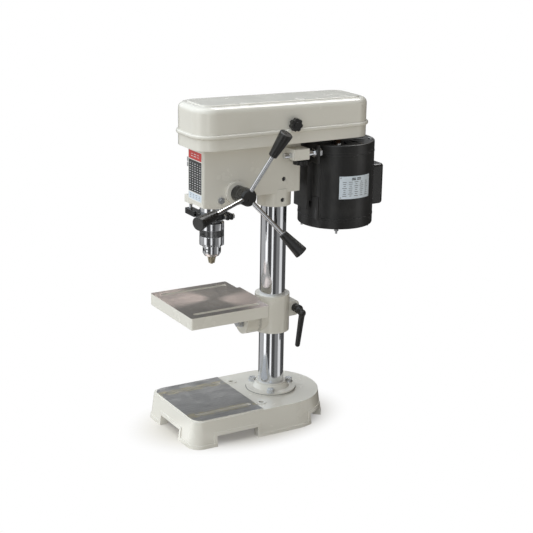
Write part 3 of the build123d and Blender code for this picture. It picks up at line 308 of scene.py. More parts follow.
def edge_mask(shader, rounded, low=0.002, high=0.06):
    """One on edges and zero on flats."""
    true_normal = shader.add("ShaderNodeNewGeometry", output="Normal")
    agreement = shader.vector("DOT_PRODUCT", rounded, true_normal, output="Value")
    return shader.ease(1 - agreement, low, high)


def relief(shader, height, depth, normal=None):
    """A bump from a height of 0 to 1, as deep as depth."""
    inputs = {"Height": height, "Strength": 1.0, "Distance": depth}
    if normal:
        inputs["Normal"] = normal
    return shader.add("ShaderNodeBump", {}, inputs)


def surface(made, shader, **sockets):
    """Ends a finish with a Principled shader; a double underscore stands for a space."""
    inputs = {name.replace("__", " "): value for name, value in sockets.items()}
    body = shader.add("ShaderNodeBsdfPrincipled", {}, inputs)
    shader.add("ShaderNodeOutputMaterial", {}, {"Surface": body})
    return made


def grey(level, warmth=0.0):
    """A grey, with red raised and blue lowered by a share."""
    return (level * (1 + warmth), level, level * (1 - warmth), 1)


print("shared layers ready")

# %% [markdown]
# ## Enamel on cast iron
# The real castings are sprayed with a warm grey enamel over a filled surface. It is glossy and a
# little uneven, like orange peel, and thinner on edges, and the base is darker towards the bottom.
# A full clear coat would be too perfect, so the coat is thin, the gloss varies with a slow noise, and
# the height has two scales: peel of a few millimetres and waves of a few centimetres.

# %% Enamel
ENAMEL, ENAMEL_DEEP = (0.72, 0.69, 0.62, 1), (0.64, 0.605, 0.535, 1)
ENAMEL_EDGE, EDGE_ROUNDING, PEEL_DEPTH = (0.80, 0.78, 0.72, 1), 0.5 * MM, 0.035 * MM
COAT_WEIGHT, COAT_ROUGHNESS = 0.35, 0.12
CLOUD_SCALE, GLOSS_SCALE, PEEL_SCALE, WAVE_SCALE, PEEL_SHARE = 9.0, 25.0, 420.0, 28.0, 0.08


def enamel_layers(shader, at):
    """Colour, roughness and normal of the enamel."""
    rounded = rounded_normal(shader, EDGE_ROUNDING)
    cloud = noise(shader, at, CLOUD_SCALE)
    base = shader.mix(shader.ease(cloud, 0.3, 0.75, 0.0, 0.22), ENAMEL, ENAMEL_DEEP)
    base = shader.mix(edge_mask(shader, rounded, 0.03, 0.25) * 0.3, base, ENAMEL_EDGE)
    gloss = shader.ease(noise(shader, at, GLOSS_SCALE, 3.0), 0.3, 0.7, 0.2, 0.28)
    height = noise(shader, at, PEEL_SCALE) * PEEL_SHARE + noise(shader, at, WAVE_SCALE)
    return base, gloss, relief(shader, height, PEEL_DEPTH, rounded)


def enamel_finish():
    made, shader = new_material("painted_enamel")
    base, gloss, normal = enamel_layers(shader, place(shader))
    return surface(made, shader, Base__Color=base, Roughness=gloss, Normal=normal,
                   Coat__Weight=COAT_WEIGHT, Coat__Roughness=COAT_ROUGHNESS)


enamel = enamel_finish()
print("enamel nodes:", len(enamel.node_tree.nodes))

# %% [markdown]
# ## Machined iron on the table and the base
# The table's top is faced on a lathe or with a wide cutter, so it carries fine rings about one
# centre. Rings scatter light along their radius, and that makes the bow-tie of light and dark.
# A bump would lose rings finer than a sample, so the normal itself is tilted along the radius by
# a sine of the distance. The bow-tie is also painted into the colour: a painted highlight makes the
# iron lighter in two opposite sectors round the centre. Where the cutter's forward and backward arcs
# cross, near the rim, they leave a pattern of small diamonds. The base pad is ground in straight
# passes instead.

# %% Rings, diamonds and passes
IRON, IRON_PAINTED_SHEEN = (0.22, 0.20, 0.175, 1), (0.64, 0.53, 0.47, 1)
IRON_DARK, IRON_STAIN_AND_SHEEN = (0.07, 0.065, 0.06, 1), (0.42, 0.37, 0.24, 1)
PAINTED_SHEEN_TURN, CUT_DEPTH = 59.4 / 360, 0.25 * MM
RING_PITCH, RING_TILT, DIAMOND_PITCH, DIAMOND_ARMS = 1.1 * MM, (0.05, 0.13), 4.2 * MM, 78.0
CUT_CENTRE_SHIFT, DIAMONDS_BEGIN, DIAMONDS_FULL = 4 * MM, 40 * MM, 76 * MM
SLOT_X, STAIN_AND_SHEEN_NEAR, STAIN_AND_SHEEN_FAR, PAD_REAR_Y = 57 * MM, 5 * MM, 13 * MM, -66 * MM
PASS_TILT, LOW_DARKENING_HEIGHT, LOW_DARKENING_MOST = 0.35, 22 * MM, 0.4


def tilted_normal(shader, direction, amount):
    """The up axis of the part, tilted along a direction, as a world normal."""
    lean = shader.vector("SCALE", direction)
    shader.tree.links.new(amount.socket, lean.socket.node.inputs["Scale"])
    tilted = shader.vector("NORMALIZE", shader.vector("ADD", lean, (0, 0, 1)))
    spaces = {"vector_type": "NORMAL", "convert_from": "OBJECT", "convert_to": "WORLD"}
    return shader.add("ShaderNodeVectorTransform", spaces, {"Vector": tilted})


def radius_and_turn(shader, at, centre):
    """The flat vector from a centre, its length and its angle in turns."""
    flat = shader.vector("MULTIPLY", shader.vector("SUBTRACT", at, centre), (1, 1, 0))
    length = shader.vector("LENGTH", flat, output="Value")
    turn = shader.part(flat, "Y").math("ARCTAN2", shader.part(flat, "X")) / math.tau
    return flat, length, turn


def blend_finish(made, shader, mask, paint, metal):
    """Paint and bare metal as one surface, mixed by a mask that is one on metal."""
    thin_coat = {"Coat Weight": COAT_WEIGHT, "Coat Roughness": COAT_ROUGHNESS}
    coat = shader.add("ShaderNodeBsdfPrincipled", {}, {**thin_coat, **paint})
    iron = shader.add("ShaderNodeBsdfPrincipled", {}, {"Metallic": 1.0, **metal})
    mixed = shader.add("ShaderNodeMixShader", {}, {0: mask, 1: coat, 2: iron})
    shader.add("ShaderNodeOutputMaterial", {}, {"Surface": mixed})
    return made


def table_finish():
    made, shader = new_material("machined_table")
    at = place(shader)
    low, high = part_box("table")
    centre = (0.0, (low.y + high.y) / 2 + CUT_CENTRE_SHIFT, 0.0)
    flat, length, turn = radius_and_turn(shader, at, centre)
    rings = (length * (math.tau / RING_PITCH)).math("SINE")
    tilt = rings * shader.ease(length, 0.0, 20 * MM, *RING_TILT)
    direction = shader.vector("NORMALIZE", flat)
    first = (length / DIAMOND_PITCH + turn * DIAMOND_ARMS) * math.tau
    second = (length / DIAMOND_PITCH - turn * DIAMOND_ARMS) * math.tau
    crossing = first.math("SINE") * second.math("SINE")
    diamonds = shader.ease(crossing, 0.1, 0.7) * shader.ease(length, DIAMONDS_BEGIN, DIAMONDS_FULL)
    # painted highlight: the iron is painted lighter in two opposite sectors, a fixed bow-tie of light
    across = ((turn - PAINTED_SHEEN_TURN) * math.tau).math("COSINE").math("ABSOLUTE")
    painted_sheen = shader.ease(across, 0.62, 0.99) * shader.ease(length, 0.0, 30 * MM)
    base = shader.mix(painted_sheen + noise(shader, at, 40.0, 3.0) * 0.2, IRON, IRON_PAINTED_SHEEN)
    base = shader.mix(diamonds * 0.9, base, IRON_DARK)
    paint, gloss, peel = enamel_layers(shader, at)
    dull = shader.ease(noise(shader, at, 90.0, 3.0), 0.3, 0.7, 0.3, 0.42)
    mask = shader.part(at, "Z") > high.z - CUT_DEPTH
    return blend_finish(made, shader, mask,
                        {"Base Color": paint, "Roughness": gloss, "Normal": peel},
                        {"Base Color": base, "Roughness": dull,
                         "Normal": tilted_normal(shader, direction, tilt)})


def base_finish():
    """Enamel with a ground pad, with a yellowish band along its two slots, partly oil stain and partly
    painted sheen.
    """
    made, shader = new_material("base_casting_finish")
    at = place(shader)
    low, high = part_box("base_casting")
    sideways, forward = shader.part(at, "X"), shader.part(at, "Y")
    passes = noise(shader, stretched(shader, at, (900.0, 24.0, 1.0)), 1.0, 3.0)
    tilt = (passes - 0.5) * PASS_TILT
    # a yellowish band along each slot: partly oil stain, partly painted sheen
    near_slot = (sideways.math("ABSOLUTE") - SLOT_X).math("ABSOLUTE")
    patches = shader.ease(noise(shader, at, 60.0, 4.0), 0.35, 0.6)
    stain_and_sheen = shader.ease(near_slot, STAIN_AND_SHEEN_NEAR, STAIN_AND_SHEEN_FAR, 1.0, 0.0) * patches
    base = shader.mix(shader.ease(passes, 0.3, 0.7), grey(0.22, 0.02), grey(0.38, 0.02))
    base = shader.mix(stain_and_sheen * 0.8, base, IRON_STAIN_AND_SHEEN)
    paint, gloss, peel = enamel_layers(shader, at)
    height = shader.part(at, "Z")
    # the enamel is made darker towards the bottom of the base, in blotches
    low_down = shader.ease(height, low.z, low.z + LOW_DARKENING_HEIGHT, LOW_DARKENING_MOST, 0.0)
    paint = shader.mix(low_down * noise(shader, at, 80.0, 4.0), paint, ENAMEL_DEEP)
    dull = shader.ease(noise(shader, at, 40.0, 3.0), 0.3, 0.7, 0.3, 0.45)
    mask = (height > high.z - CUT_DEPTH) * (forward < PAD_REAR_Y)
    return blend_finish(made, shader, mask,
                        {"Base Color": paint, "Roughness": gloss, "Normal": peel},
                        {"Base Color": base, "Roughness": dull,
                         "Normal": tilted_normal(shader, (1.0, 0.0, 0.0), tilt)})


table_iron, base_iron = table_finish(), base_finish()
print("table nodes:", len(table_iron.node_tree.nodes), "base nodes:", len(base_iron.node_tree.nodes))

# %% [markdown]
# ## Steels, alloy, enamel on the motor, plastics and rubber
# The column and rods are ground and then polished: nearly a mirror, with very fine streaks along
# their length. Bolts are zinc plated, with a slightly patchy, bluish sheen. The rest follows the
# same pattern, so one function makes all the metals from a few numbers and another makes the
# plastics. The numbers are the roughness, the stretch of the grain along each axis, the share of
# tarnish, the depth of the grain and the rounding of edges, in millimetres. Edges are rubbed light.

# %% Metals
def metal_finish(name, colour, dark, rough, grain, wear=0.4, depth=0.02, edge=0.5):
    made, shader = new_material(name)
    at = place(shader)
    rounded = rounded_normal(shader, edge * MM)
    streaks = noise(shader, stretched(shader, at, grain), 1.0, 3.0)
    base = shader.mix(shader.ease(noise(shader, at, 40.0, 4.0), 0.35, 0.75) * wear, colour, dark)
    base = shader.mix(edge_mask(shader, rounded) * 0.4, base, WHITE)
    gloss = shader.ease(streaks, 0.3, 0.7, rough * 0.8, rough * 1.25)
    return surface(made, shader, Base__Color=base, Metallic=1.0, Roughness=gloss,
                   Normal=relief(shader, streaks, depth * MM, rounded))


polished = metal_finish("polished_steel", (0.74, 0.75, 0.77, 1), (0.62, 0.63, 0.65, 1), 0.1,
                        grain=(1500.0, 1500.0, 8.0), wear=0.3, depth=0.002, edge=0.3)
chuck_steel = metal_finish("chuck_steel", (0.70, 0.71, 0.73, 1), (0.5, 0.5, 0.52, 1), 0.14,
                           grain=(60.0, 60.0, 2500.0), wear=0.3, depth=0.004, edge=0.35)
zinc = metal_finish("zinc_plate", (0.62, 0.63, 0.64, 1), (0.36, 0.35, 0.33, 1), 0.3,
                    grain=(300.0, 300.0, 300.0), wear=0.5, depth=0.01, edge=0.4)
blackened = metal_finish("blackened_steel", (0.07, 0.07, 0.07, 1), (0.03, 0.028, 0.025, 1), 0.38,
                         grain=(500.0, 500.0, 500.0), wear=0.6)
jaw_steel = metal_finish("jaw_steel", (0.42, 0.37, 0.27, 1), (0.22, 0.19, 0.13, 1), 0.3,
                         grain=(400.0, 400.0, 400.0), wear=0.6)
alloy = metal_finish("cast_alloy", (0.66, 0.66, 0.66, 1), (0.42, 0.42, 0.43, 1), 0.42,
                     grain=(40.0, 40.0, 1800.0))
copper = metal_finish("copper_windings", (0.55, 0.26, 0.12, 1), (0.25, 0.12, 0.06, 1), 0.35,
                      grain=(40.0, 40.0, 1400.0), wear=0.6, depth=0.2)
print("metals:", [m.name for m in (polished, chuck_steel, zinc, blackened, jaw_steel, alloy, copper)])


# %% Plastics, black enamel and rubber
WORN_EDGE = 0.6 * MM


def dull_finish(name, colour, worn, rough, peel_scale, depth, coat=0.0):
    """Depth is in millimetres."""
    made, shader = new_material(name)
    at = place(shader)
    rounded = rounded_normal(shader, WORN_EDGE)
    dust = shader.ease(noise(shader, at, 25.0, 5.0), 0.45, 0.8, 0.0, 0.3)
    base = shader.mix(dust, colour, worn)
    base = shader.mix(edge_mask(shader, rounded) * 0.45, base, worn)
    gloss = shader.ease(noise(shader, at, 70.0, 3.0), 0.3, 0.7, rough * 0.85, rough * 1.2)
    peel = relief(shader, noise(shader, at, peel_scale), depth * MM, rounded)
    return surface(made, shader, Base__Color=base, Roughness=gloss, Coat__Weight=coat,
                   Coat__Roughness=0.15, Normal=peel)


black_enamel = dull_finish("black_enamel", grey(0.016, 0.04), grey(0.05, 0.06), 0.36, 500.0, 0.04)
black_plastic = dull_finish("black_plastic", grey(0.014, 0.05), grey(0.045, 0.06), 0.3, 900.0, 0.03)
rubber = dull_finish("belt_rubber", grey(0.03), grey(0.08, 0.05), 0.75, 1500.0, 0.15)
red_plastic = dull_finish("red_plastic", (0.55, 0.02, 0.02, 1), (0.7, 0.12, 0.1, 1), 0.3,
                          700.0, 0.02, coat=0.3)
green_plastic = dull_finish("green_plastic", (0.02, 0.3, 0.07, 1), (0.1, 0.45, 0.15, 1), 0.3,
                            700.0, 0.02, coat=0.3)
print("dull finishes:", [made.name for made in (black_enamel, black_plastic, rubber, red_plastic,
                                                green_plastic)])

# %% [markdown]
# ## Giving the packed parts their finishes
# Every packed part already names a slot of the record. A part keeps its mesh and only its
# material changes. Most parts follow their slot; a few that are made of one slot but finished in
# another way, such as the table with its cut top, are named one by one.

# %% Dress the packed parts
BY_SLOT = {"painted_casting": enamel, "ground_iron": table_iron, "polished_steel": polished,
           "zinc_steel": zinc, "black_enamel": black_enamel, "black_plastic": black_plastic,
           "dark_steel": blackened, "copper_iron": copper, "cast_alloy": alloy,
           "belt_rubber": rubber, "red_plastic": red_plastic, "green_plastic": green_plastic}
BY_PART = {"base_casting": base_iron, "table": table_iron, "chuck_body": chuck_steel,
           "chuck_sleeve": chuck_steel, **{f"chuck_jaw_{i}": jaw_steel for i in (1, 2, 3)}}
slot_of = {row["node"]: row["material_slot"] for row in frame["record"]["subparts"]}
for name, part in nodes.items():
    finish = BY_PART.get(name, BY_SLOT[slot_of[name]])
    for slot in part.material_slots:
        slot.material = finish
print("dressed:", len(nodes), "parts")

# %% [markdown]
# ## Geometry Nodes for what repeats
# Knurls, threads, scale marks, rivets and chart lines are one small shape many times over. Each
# is a small node group, built here with named inputs, so that another machine could use it with
# other sizes. The result is turned into a plain mesh that rides on one body of the machine, and
# the modifier goes. Values are given to the modifier by each socket's identifier.

# %% A builder for repeated pieces
SOCKETS = {int: "NodeSocketInt", float: "NodeSocketFloat", tuple: "NodeSocketVector"}


def group(name, **inputs):
    """A Geometry Nodes group with named inputs, a finish and one output."""
    tree = bpy.data.node_groups.new(name, "GeometryNodeTree")
    tree.interface.new_socket(name="Geometry", in_out="OUTPUT", socket_type="NodeSocketGeometry")
    for label, sample in inputs.items():
        tree.interface.new_socket(name=label, in_out="INPUT", socket_type=SOCKETS[type(sample)])
    tree.interface.new_socket(name="Finish", in_out="INPUT", socket_type="NodeSocketMaterial")
    builder = Nodes(tree)
    source = tree.nodes.new("NodeGroupInput")
    return builder, {s.name: Value(builder, s) for s in source.outputs if s.name}


def end_group(builder, shape, finish):
    """Realize Instances and Set Material, then the output."""
    real = builder.add("GeometryNodeRealizeInstances", {}, {"Geometry": shape})
    dressed = builder.add("GeometryNodeSetMaterial", {}, {"Geometry": real, "Material": finish})
    builder.add("NodeGroupOutput", {}, {"Geometry": dressed})
    return builder.tree


SHARP_ANGLE = math.radians(35)


def spread(builder, points, shape, **turn_and_scale):
    """Puts one shape on every point."""
    return builder.add("GeometryNodeInstanceOnPoints", {},
                       {"Points": points, "Instance": shape, **turn_and_scale})


def axes(builder, **values):
    """A vector from the numbers for X, Y and Z."""
    return builder.add("ShaderNodeCombineXYZ", {}, values)


def flat_grid(builder, width, height, columns, rows):
    """A flat grid of points in the XY plane."""
    return builder.add("GeometryNodeMeshGrid", {}, {"Size X": width, "Size Y": height,
                                                   "Vertices X": columns, "Vertices Y": rows})


def upright(builder, grid):
    """Stands a flat grid up in the XZ plane."""
    return builder.add("GeometryNodeTransform", {},
                       {"Geometry": grid, "Rotation": (math.pi / 2, 0, 0)})


def finish_piece(piece, body):
    """Smooths a plain mesh between its sharp edges, and makes it ride on a body."""
    piece.data.shade_smooth()
    piece.data.set_sharp_from_angle(angle=SHARP_ANGLE)
    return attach(piece, body)


def repeated(name, tree, body, slot_name, finish, move, **values):
    """Runs a group with its inputs, keeps the result as a plain mesh and rides it on a body."""
    carrier = mesh_object(name + "_carrier", [], [])
    modifier = carrier.modifiers.new("nodes", "NODES")
    modifier.node_group = tree
    for item in tree.interface.items_tree:
        if item.in_out == "INPUT":
            modifier[item.identifier] = finish if item.name == "Finish" else values[item.name]
    evaluated = carrier.evaluated_get(bpy.context.evaluated_depsgraph_get())
    mesh = bpy.data.meshes.new_from_object(evaluated)
    carrier.modifiers.clear()
    bpy.data.objects.remove(carrier)
    mesh.transform(move)
    piece = bpy.data.objects.new(name, mesh)
    scene.collection.objects.link(piece)
    print(f"{name}: {len(mesh.polygons)} faces on {body}")
    return finish_piece(piece, body)


def moved(x, y, z, turn=0.0, axis="X"):
    """A placement in millimetres, after a turn in degrees about an axis."""
    return Matrix.Translation((x * MM, y * MM, z * MM)) @ Matrix.Rotation(math.radians(turn), 4, axis)


# %% Blocks round a circle
def round_blocks():
    """Small blocks on an arc about Z, every so many of them longer."""
    builder, given = group("blocks_on_an_arc", Count=1, Radius=0.1, Start=0.1, Step=0.1,
                           Block=(1, 1, 1), Every=1, Longer=1.0)
    points = builder.add("GeometryNodeMeshLine", {}, {"Count": given["Count"]})
    index = builder.add("GeometryNodeInputIndex")
    angle = given["Start"] + index * given["Step"]
    spot = axes(builder, X=given["Radius"] * angle.math("COSINE"),
                Y=given["Radius"] * angle.math("SINE"))
    points = builder.add("GeometryNodeSetPosition", {}, {"Geometry": points, "Position": spot})
    block = builder.add("GeometryNodeMeshCube", {}, {"Size": given["Block"]})
    long_one = (index.math("MODULO", given["Every"]) < 0.5) * (given["Longer"] - 1) + 1
    blocks = spread(builder, points, block, Rotation=axes(builder, Z=angle),
                    Scale=axes(builder, X=1.0, Y=1.0, Z=long_one))
    return end_group(builder, blocks, given["Finish"])


# %% Blocks along a line
def row_blocks():
    """Small blocks along X, every so many of them longer."""
    builder, given = group("blocks_on_a_line", Count=1, Pitch=0.1, Block=(1, 1, 1), Every=1,
                           Longer=1.0)
    points = builder.add("GeometryNodeMeshLine", {}, {"Count": given["Count"],
                                                     "Offset": axes(builder, X=given["Pitch"])})
    index = builder.add("GeometryNodeInputIndex")
    block = builder.add("GeometryNodeMeshCube", {}, {"Size": given["Block"]})
    long_one = (index.math("MODULO", given["Every"]) < 0.5) * (given["Longer"] - 1) + 1
    blocks = spread(builder, points, block, Scale=axes(builder, X=1.0, Y=1.0, Z=long_one))
    return end_group(builder, blocks, given["Finish"])


# %% A screw thread
CORE_SIDES, STEPS_A_TURN = 24, 16


def thread():
    """A rod about Z with a triangular ridge on a helix round it. Radius is the rod's core."""
    builder, given = group("thread", Radius=0.1, Pitch=0.1, Length=0.1, Depth=0.1)
    core = builder.add("GeometryNodeMeshCylinder", {}, {
        "Vertices": CORE_SIDES, "Radius": given["Radius"],
        "Depth": given["Length"] + given["Pitch"] * 2})
    core = builder.add("GeometryNodeSetPosition", {}, {
        "Geometry": core, "Offset": axes(builder, Z=given["Length"] * 0.5)})
    helix = builder.add("GeometryNodeCurveSpiral", {}, {
        "Resolution": STEPS_A_TURN, "Rotations": given["Length"] / given["Pitch"],
        "Start Radius": given["Radius"], "End Radius": given["Radius"], "Height": given["Length"]})
    profile = builder.add("GeometryNodeCurvePrimitiveCircle", {},
                          {"Resolution": 4, "Radius": given["Depth"]})
    ridge = builder.add("GeometryNodeCurveToMesh", {}, {"Curve": helix, "Profile Curve": profile,
                                                       "Fill Caps": True})
    joined = builder.tree.nodes.new("GeometryNodeJoinGeometry")
    for part in (core, ridge):
        builder.tree.links.new(part.socket, joined.inputs[0])
    return end_group(builder, Value(builder, joined.outputs[0]), given["Finish"])


# %% Printed lines on a chart
SHORTEST_LINE = 0.45


def random_share(builder, least, seed):
    """A share from least to 1, another one at each point."""
    return builder.add("FunctionNodeRandomValue", {"data_type": "FLOAT"},
                       {"Min_001": least, "Max_001": 1.0, "Seed": seed}, "Value_001")


def printed_lines():
    """A grid of short raised lines of uneven length, in the XZ plane."""
    builder, given = group("printed_lines", Columns=1, Rows=1, Width=0.1, Height=0.1,
                           Line=(1, 1, 1), Seed=1)
    grid = flat_grid(builder, given["Width"], given["Height"], given["Columns"], given["Rows"])
    length = random_share(builder, SHORTEST_LINE, given["Seed"])
    block = builder.add("GeometryNodeMeshCube", {}, {"Size": given["Line"]})
    lines = spread(builder, upright(builder, grid), block, Scale=axes(builder, X=length, Y=1.0, Z=1.0))
    return end_group(builder, lines, given["Finish"])


# %% Round heads at the corners of a rectangle
def corner_heads():
    """Four low round heads in the XZ plane."""
    builder, given = group("corner_heads", Width=0.1, Height=0.1, Radius=0.1, Rise=0.1)
    grid = flat_grid(builder, given["Width"], given["Height"], 2, 2)
    ball = builder.add("GeometryNodeMeshUVSphere", {}, {"Segments": 16, "Rings": 8, "Radius": 1.0})
    size = axes(builder, X=given["Radius"], Y=given["Rise"], Z=given["Radius"])
    heads = spread(builder, upright(builder, grid), ball, Scale=size)
    return end_group(builder, heads, given["Finish"])


arc_tree, row_tree, thread_tree, lines_tree, heads_tree = (
    round_blocks(), row_blocks(), thread(), printed_lines(), corner_heads())
print("groups:", [tree.name for tree in bpy.data.node_groups])

# %% [markdown]
# ## The knurl and the thread
# The chuck's sleeve has a blackened band that is rolled with fine upright ridges, so that it can
# be turned by hand. The depth rod is threaded from end to end, so the plain rod is replaced by a
# thinner core with a ridge on a helix, which stays inside the plain rod's size and its holes.

# %% Knurl and thread
SLEEVE_LOW, SLEEVE_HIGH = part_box("chuck_sleeve")
SPINDLE_Y = (SLEEVE_LOW.y + SLEEVE_HIGH.y) / 2 / MM
SLEEVE_BOTTOM, SLEEVE_TOP = SLEEVE_LOW.z / MM, SLEEVE_HIGH.z / MM
RIDGES, KNURL_HEIGHT, KNURL_GAP, BAND_R = 84, 11.6, 0.2, 20.9
RIDGE_BLOCK, RIDGE_SINK = (0.9 * MM, 0.95 * MM, KNURL_HEIGHT * MM), 0.05
repeated("chuck_knurl", arc_tree, "chuck_sleeve", "dark_steel", blackened,
         moved(0, SPINDLE_Y, SLEEVE_TOP - KNURL_HEIGHT / 2 - KNURL_GAP), Count=RIDGES,
         Radius=(BAND_R + RIDGE_SINK) * MM, Start=0.0, Step=math.tau / RIDGES, Block=RIDGE_BLOCK,
         Every=1, Longer=1.0)
ROD_LOW, ROD_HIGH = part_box("depth_rod")
ROD_X, ROD_Y = ((ROD_LOW[i] + ROD_HIGH[i]) / 2 / MM for i in (0, 1))
THREAD_PITCH, ROD_CORE_R, RIDGE = 1.25, 2.62, 0.36
threaded_rod = repeated("depth_rod_threaded", thread_tree, "quill", "zinc_steel", zinc,
                        moved(ROD_X, ROD_Y, ROD_LOW.z / MM + THREAD_PITCH), Depth=RIDGE * MM,
                        Radius=ROD_CORE_R * MM, Pitch=THREAD_PITCH * MM,
                        Length=(ROD_HIGH.z - ROD_LOW.z) - 2 * THREAD_PITCH * MM)
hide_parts("depth_rod")

# %% [markdown]
# ## The chart on the head and the scales
# The head's front carries a printed chart of belt steps and speeds under a red band. Here it is
# a plain generic chart: rows of short pale lines on black, with no lettering. A depth scale
# stands beside the threaded rod, and a tilt scale is cut round the table's boss.

# %% Printed finishes
PRINT_ROUGHNESS, PRINT_COAT, PRINT_GRAIN_DEPTH = (0.28, 0.42), 0.4, 0.03 * MM


def print_finish(name, colour, aged):
    made, shader = new_material(name)
    at = place(shader)
    base = shader.mix(shader.ease(noise(shader, at, 60.0, 4.0), 0.4, 0.8, 0.0, 0.5), colour, aged)
    gloss = shader.ease(noise(shader, at, 120.0), 0.3, 0.7, *PRINT_ROUGHNESS)
    grain = relief(shader, noise(shader, at, 260.0), PRINT_GRAIN_DEPTH)
    return surface(made, shader, Base__Color=base, Roughness=gloss, Normal=grain,
                   Coat__Weight=PRINT_COAT, Coat__Roughness=0.1)


label_card = print_finish("label_card", (0.78, 0.77, 0.72, 1), (0.66, 0.64, 0.58, 1))
label_red = print_finish("label_red", (0.62, 0.035, 0.03, 1), (0.5, 0.05, 0.04, 1))
label_black = print_finish("label_black", grey(0.02), grey(0.04, 0.05))
label_pale = print_finish("label_pale", (0.66, 0.72, 0.78, 1), (0.55, 0.6, 0.66, 1))
ink_white = print_finish("ink_white", (0.8, 0.8, 0.8, 1), (0.6, 0.6, 0.6, 1))
ink_black = print_finish("ink_black", grey(0.02), grey(0.05))
print("prints:", [made.name for made in (label_card, label_red, label_black, label_pale, ink_white,
                                         ink_black)])


# %% A thin plate with rounded corners
def sheet_plate(name, x, z, level, thick, corner, finish, body, move=None, steps=6):
    """A thin plate in the XZ plane in millimetres, whose face stands off level towards -Y."""
    outline = []
    for cx, cz, start in ((x[1] - corner, z[1] - corner, 0), (x[0] + corner, z[1] - corner, 90),
                          (x[0] + corner, z[0] + corner, 180), (x[1] - corner, z[0] + corner, 270)):
        for step in range(steps + 1):
            angle = math.radians(start + 90 * step / steps)
            outline.append((cx + corner * math.cos(angle), cz + corner * math.sin(angle)))
    count = len(outline)
    points = [(px * MM, (level - offset) * MM, pz * MM) for offset in (0, thick) for px, pz in outline]
    faces = [tuple(range(count)), tuple(reversed(range(count, 2 * count)))]
    faces += [(i, i + count, (i + 1) % count + count, (i + 1) % count) for i in range(count)]
    made = mesh_object(name, points, faces, finish)
    if move:
        made.data.transform(move)
    return finish_piece(made, body)


# %% The chart
HEAD_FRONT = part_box("head_casting")[0].y / MM
CARD_X, CARD_Z, CARD_THICK, CARD_CORNER = (-25.0, 25.0), (419.0, 507.0), 0.3, 2.0
PRINT_X, PRINT_THICK, PRINT_CORNER, INK_FACE = (-23.4, 23.4), 0.08, 0.6, HEAD_FRONT - 0.4
sheet_plate("chart_card", CARD_X, CARD_Z, HEAD_FRONT, CARD_THICK, CARD_CORNER, label_card, "frame")
FIELDS = (("chart_red_band", (491.0, 505.4), label_red, "red_plastic"),
          ("chart_black_field", (434.0, 489.4), label_black, "black_plastic"),
          ("chart_pale_band", (421.0, 432.4), label_pale, "painted_casting"))
for name, field_z, finish, slot_name in FIELDS:
    sheet_plate(name, PRINT_X, field_z, HEAD_FRONT - CARD_THICK, PRINT_THICK, PRINT_CORNER, finish,
                "frame")
LINES = (("chart_lines", 460.5, ink_white, "painted_casting", (5, 12), (36, 46), (4.6, 0.1, 1.1), 4),
         ("chart_title_lines", 498.2, ink_white, "painted_casting", (3, 2), (22, 4), (9, 0.1, 1.2), 9),
         ("chart_foot_lines", 426.6, ink_black, "black_plastic", (4, 3), (32, 6), (7, 0.1, 0.6), 2))
for name, level, finish, slot_name, (columns, rows), (width, tall), line, seed in LINES:
    repeated(name, lines_tree, "frame", slot_name, finish, moved(0, INK_FACE, level), Columns=columns,
             Rows=rows, Width=width * MM, Height=tall * MM, Line=tuple(side * MM for side in line),
             Seed=seed)

# %% Depth scale and tilt scale
TO_LEFT = Matrix.Rotation(math.radians(-90), 4, "Z")
UPWARDS = Matrix.Rotation(math.radians(-90), 4, "Y")
SCALE_X, SCALE_Z, SCALE_CORNER, HEAD_LEFT = (134.0, 146.0), (440.0, 500.0), 1.0, -28.0
DEPTH_MARKS, DEPTH_PITCH, DEPTH_MARK = 28, 2.0, (0.35 * MM, 0.1 * MM, 3.0 * MM)
DEPTH_MARKS_PLACE = (142.5 * MM, (HEAD_LEFT - 0.35) * MM, sum(SCALE_Z) / 2 * MM)
sheet_plate("depth_scale", SCALE_X, SCALE_Z, HEAD_LEFT, CARD_THICK, SCALE_CORNER, label_card, "frame",
            TO_LEFT)
repeated("depth_scale_marks", row_tree, "frame", "black_plastic", ink_black,
         TO_LEFT @ Matrix.Translation(DEPTH_MARKS_PLACE) @ UPWARDS, Count=DEPTH_MARKS,
         Pitch=DEPTH_PITCH * MM, Block=DEPTH_MARK, Every=5, Longer=1.9)
BOSS_R, SCALE_Y, TILT_AXIS_Z = 24.0, -36.8, 187.5
TILT_MARKS, TILT_STEP, TILT_MARK = 19, math.radians(5), (0.16 * MM, 0.5 * MM, 4.0 * MM)
repeated("tilt_scale_marks", arc_tree, "table_bracket", "black_plastic", ink_black,
         moved(0, SCALE_Y, TILT_AXIS_Z, 90), Count=TILT_MARKS, Radius=(BOSS_R + 0.02) * MM,
         Start=math.radians(-45), Step=TILT_STEP, Block=TILT_MARK, Every=3, Longer=1.6)

# %% [markdown]
# ## The motor's plate, seam and rib
# The motor's shell is a rolled sheet with a lap seam, a stamped rib near its lower end and a thin
# data plate held by four rivets. The plate must bend with the shell, so it is built on the
# shell's own radius. Its printing is rows of plain dashes, bent in the same way by the group.

# %% A plate on a cylinder and a ring
MOTOR_Y = 130.0


def curved_plate(name, angles, z, radii, finish, body, steps=20):
    """A closed piece of a cylinder about the motor's axis, in millimetres and degrees."""
    points, faces = [], []
    for step in range(steps + 1):
        angle = math.radians(angles[0] + (angles[1] - angles[0]) * step / steps)
        for radius, level in zip((*radii, *reversed(radii)), (z[0], z[0], z[1], z[1])):
            points.append((radius * math.cos(angle) * MM, (MOTOR_Y + radius * math.sin(angle)) * MM,
                           level * MM))
    for step in range(steps):
        a = 4 * step
        faces += [(a + i, a + 4 + i, a + 4 + (i + 1) % 4, a + (i + 1) % 4) for i in range(4)]
    faces += [(0, 1, 2, 3), tuple(4 * steps + i for i in (3, 2, 1, 0))]
    return finish_piece(mesh_object(name, points, faces, finish), body)


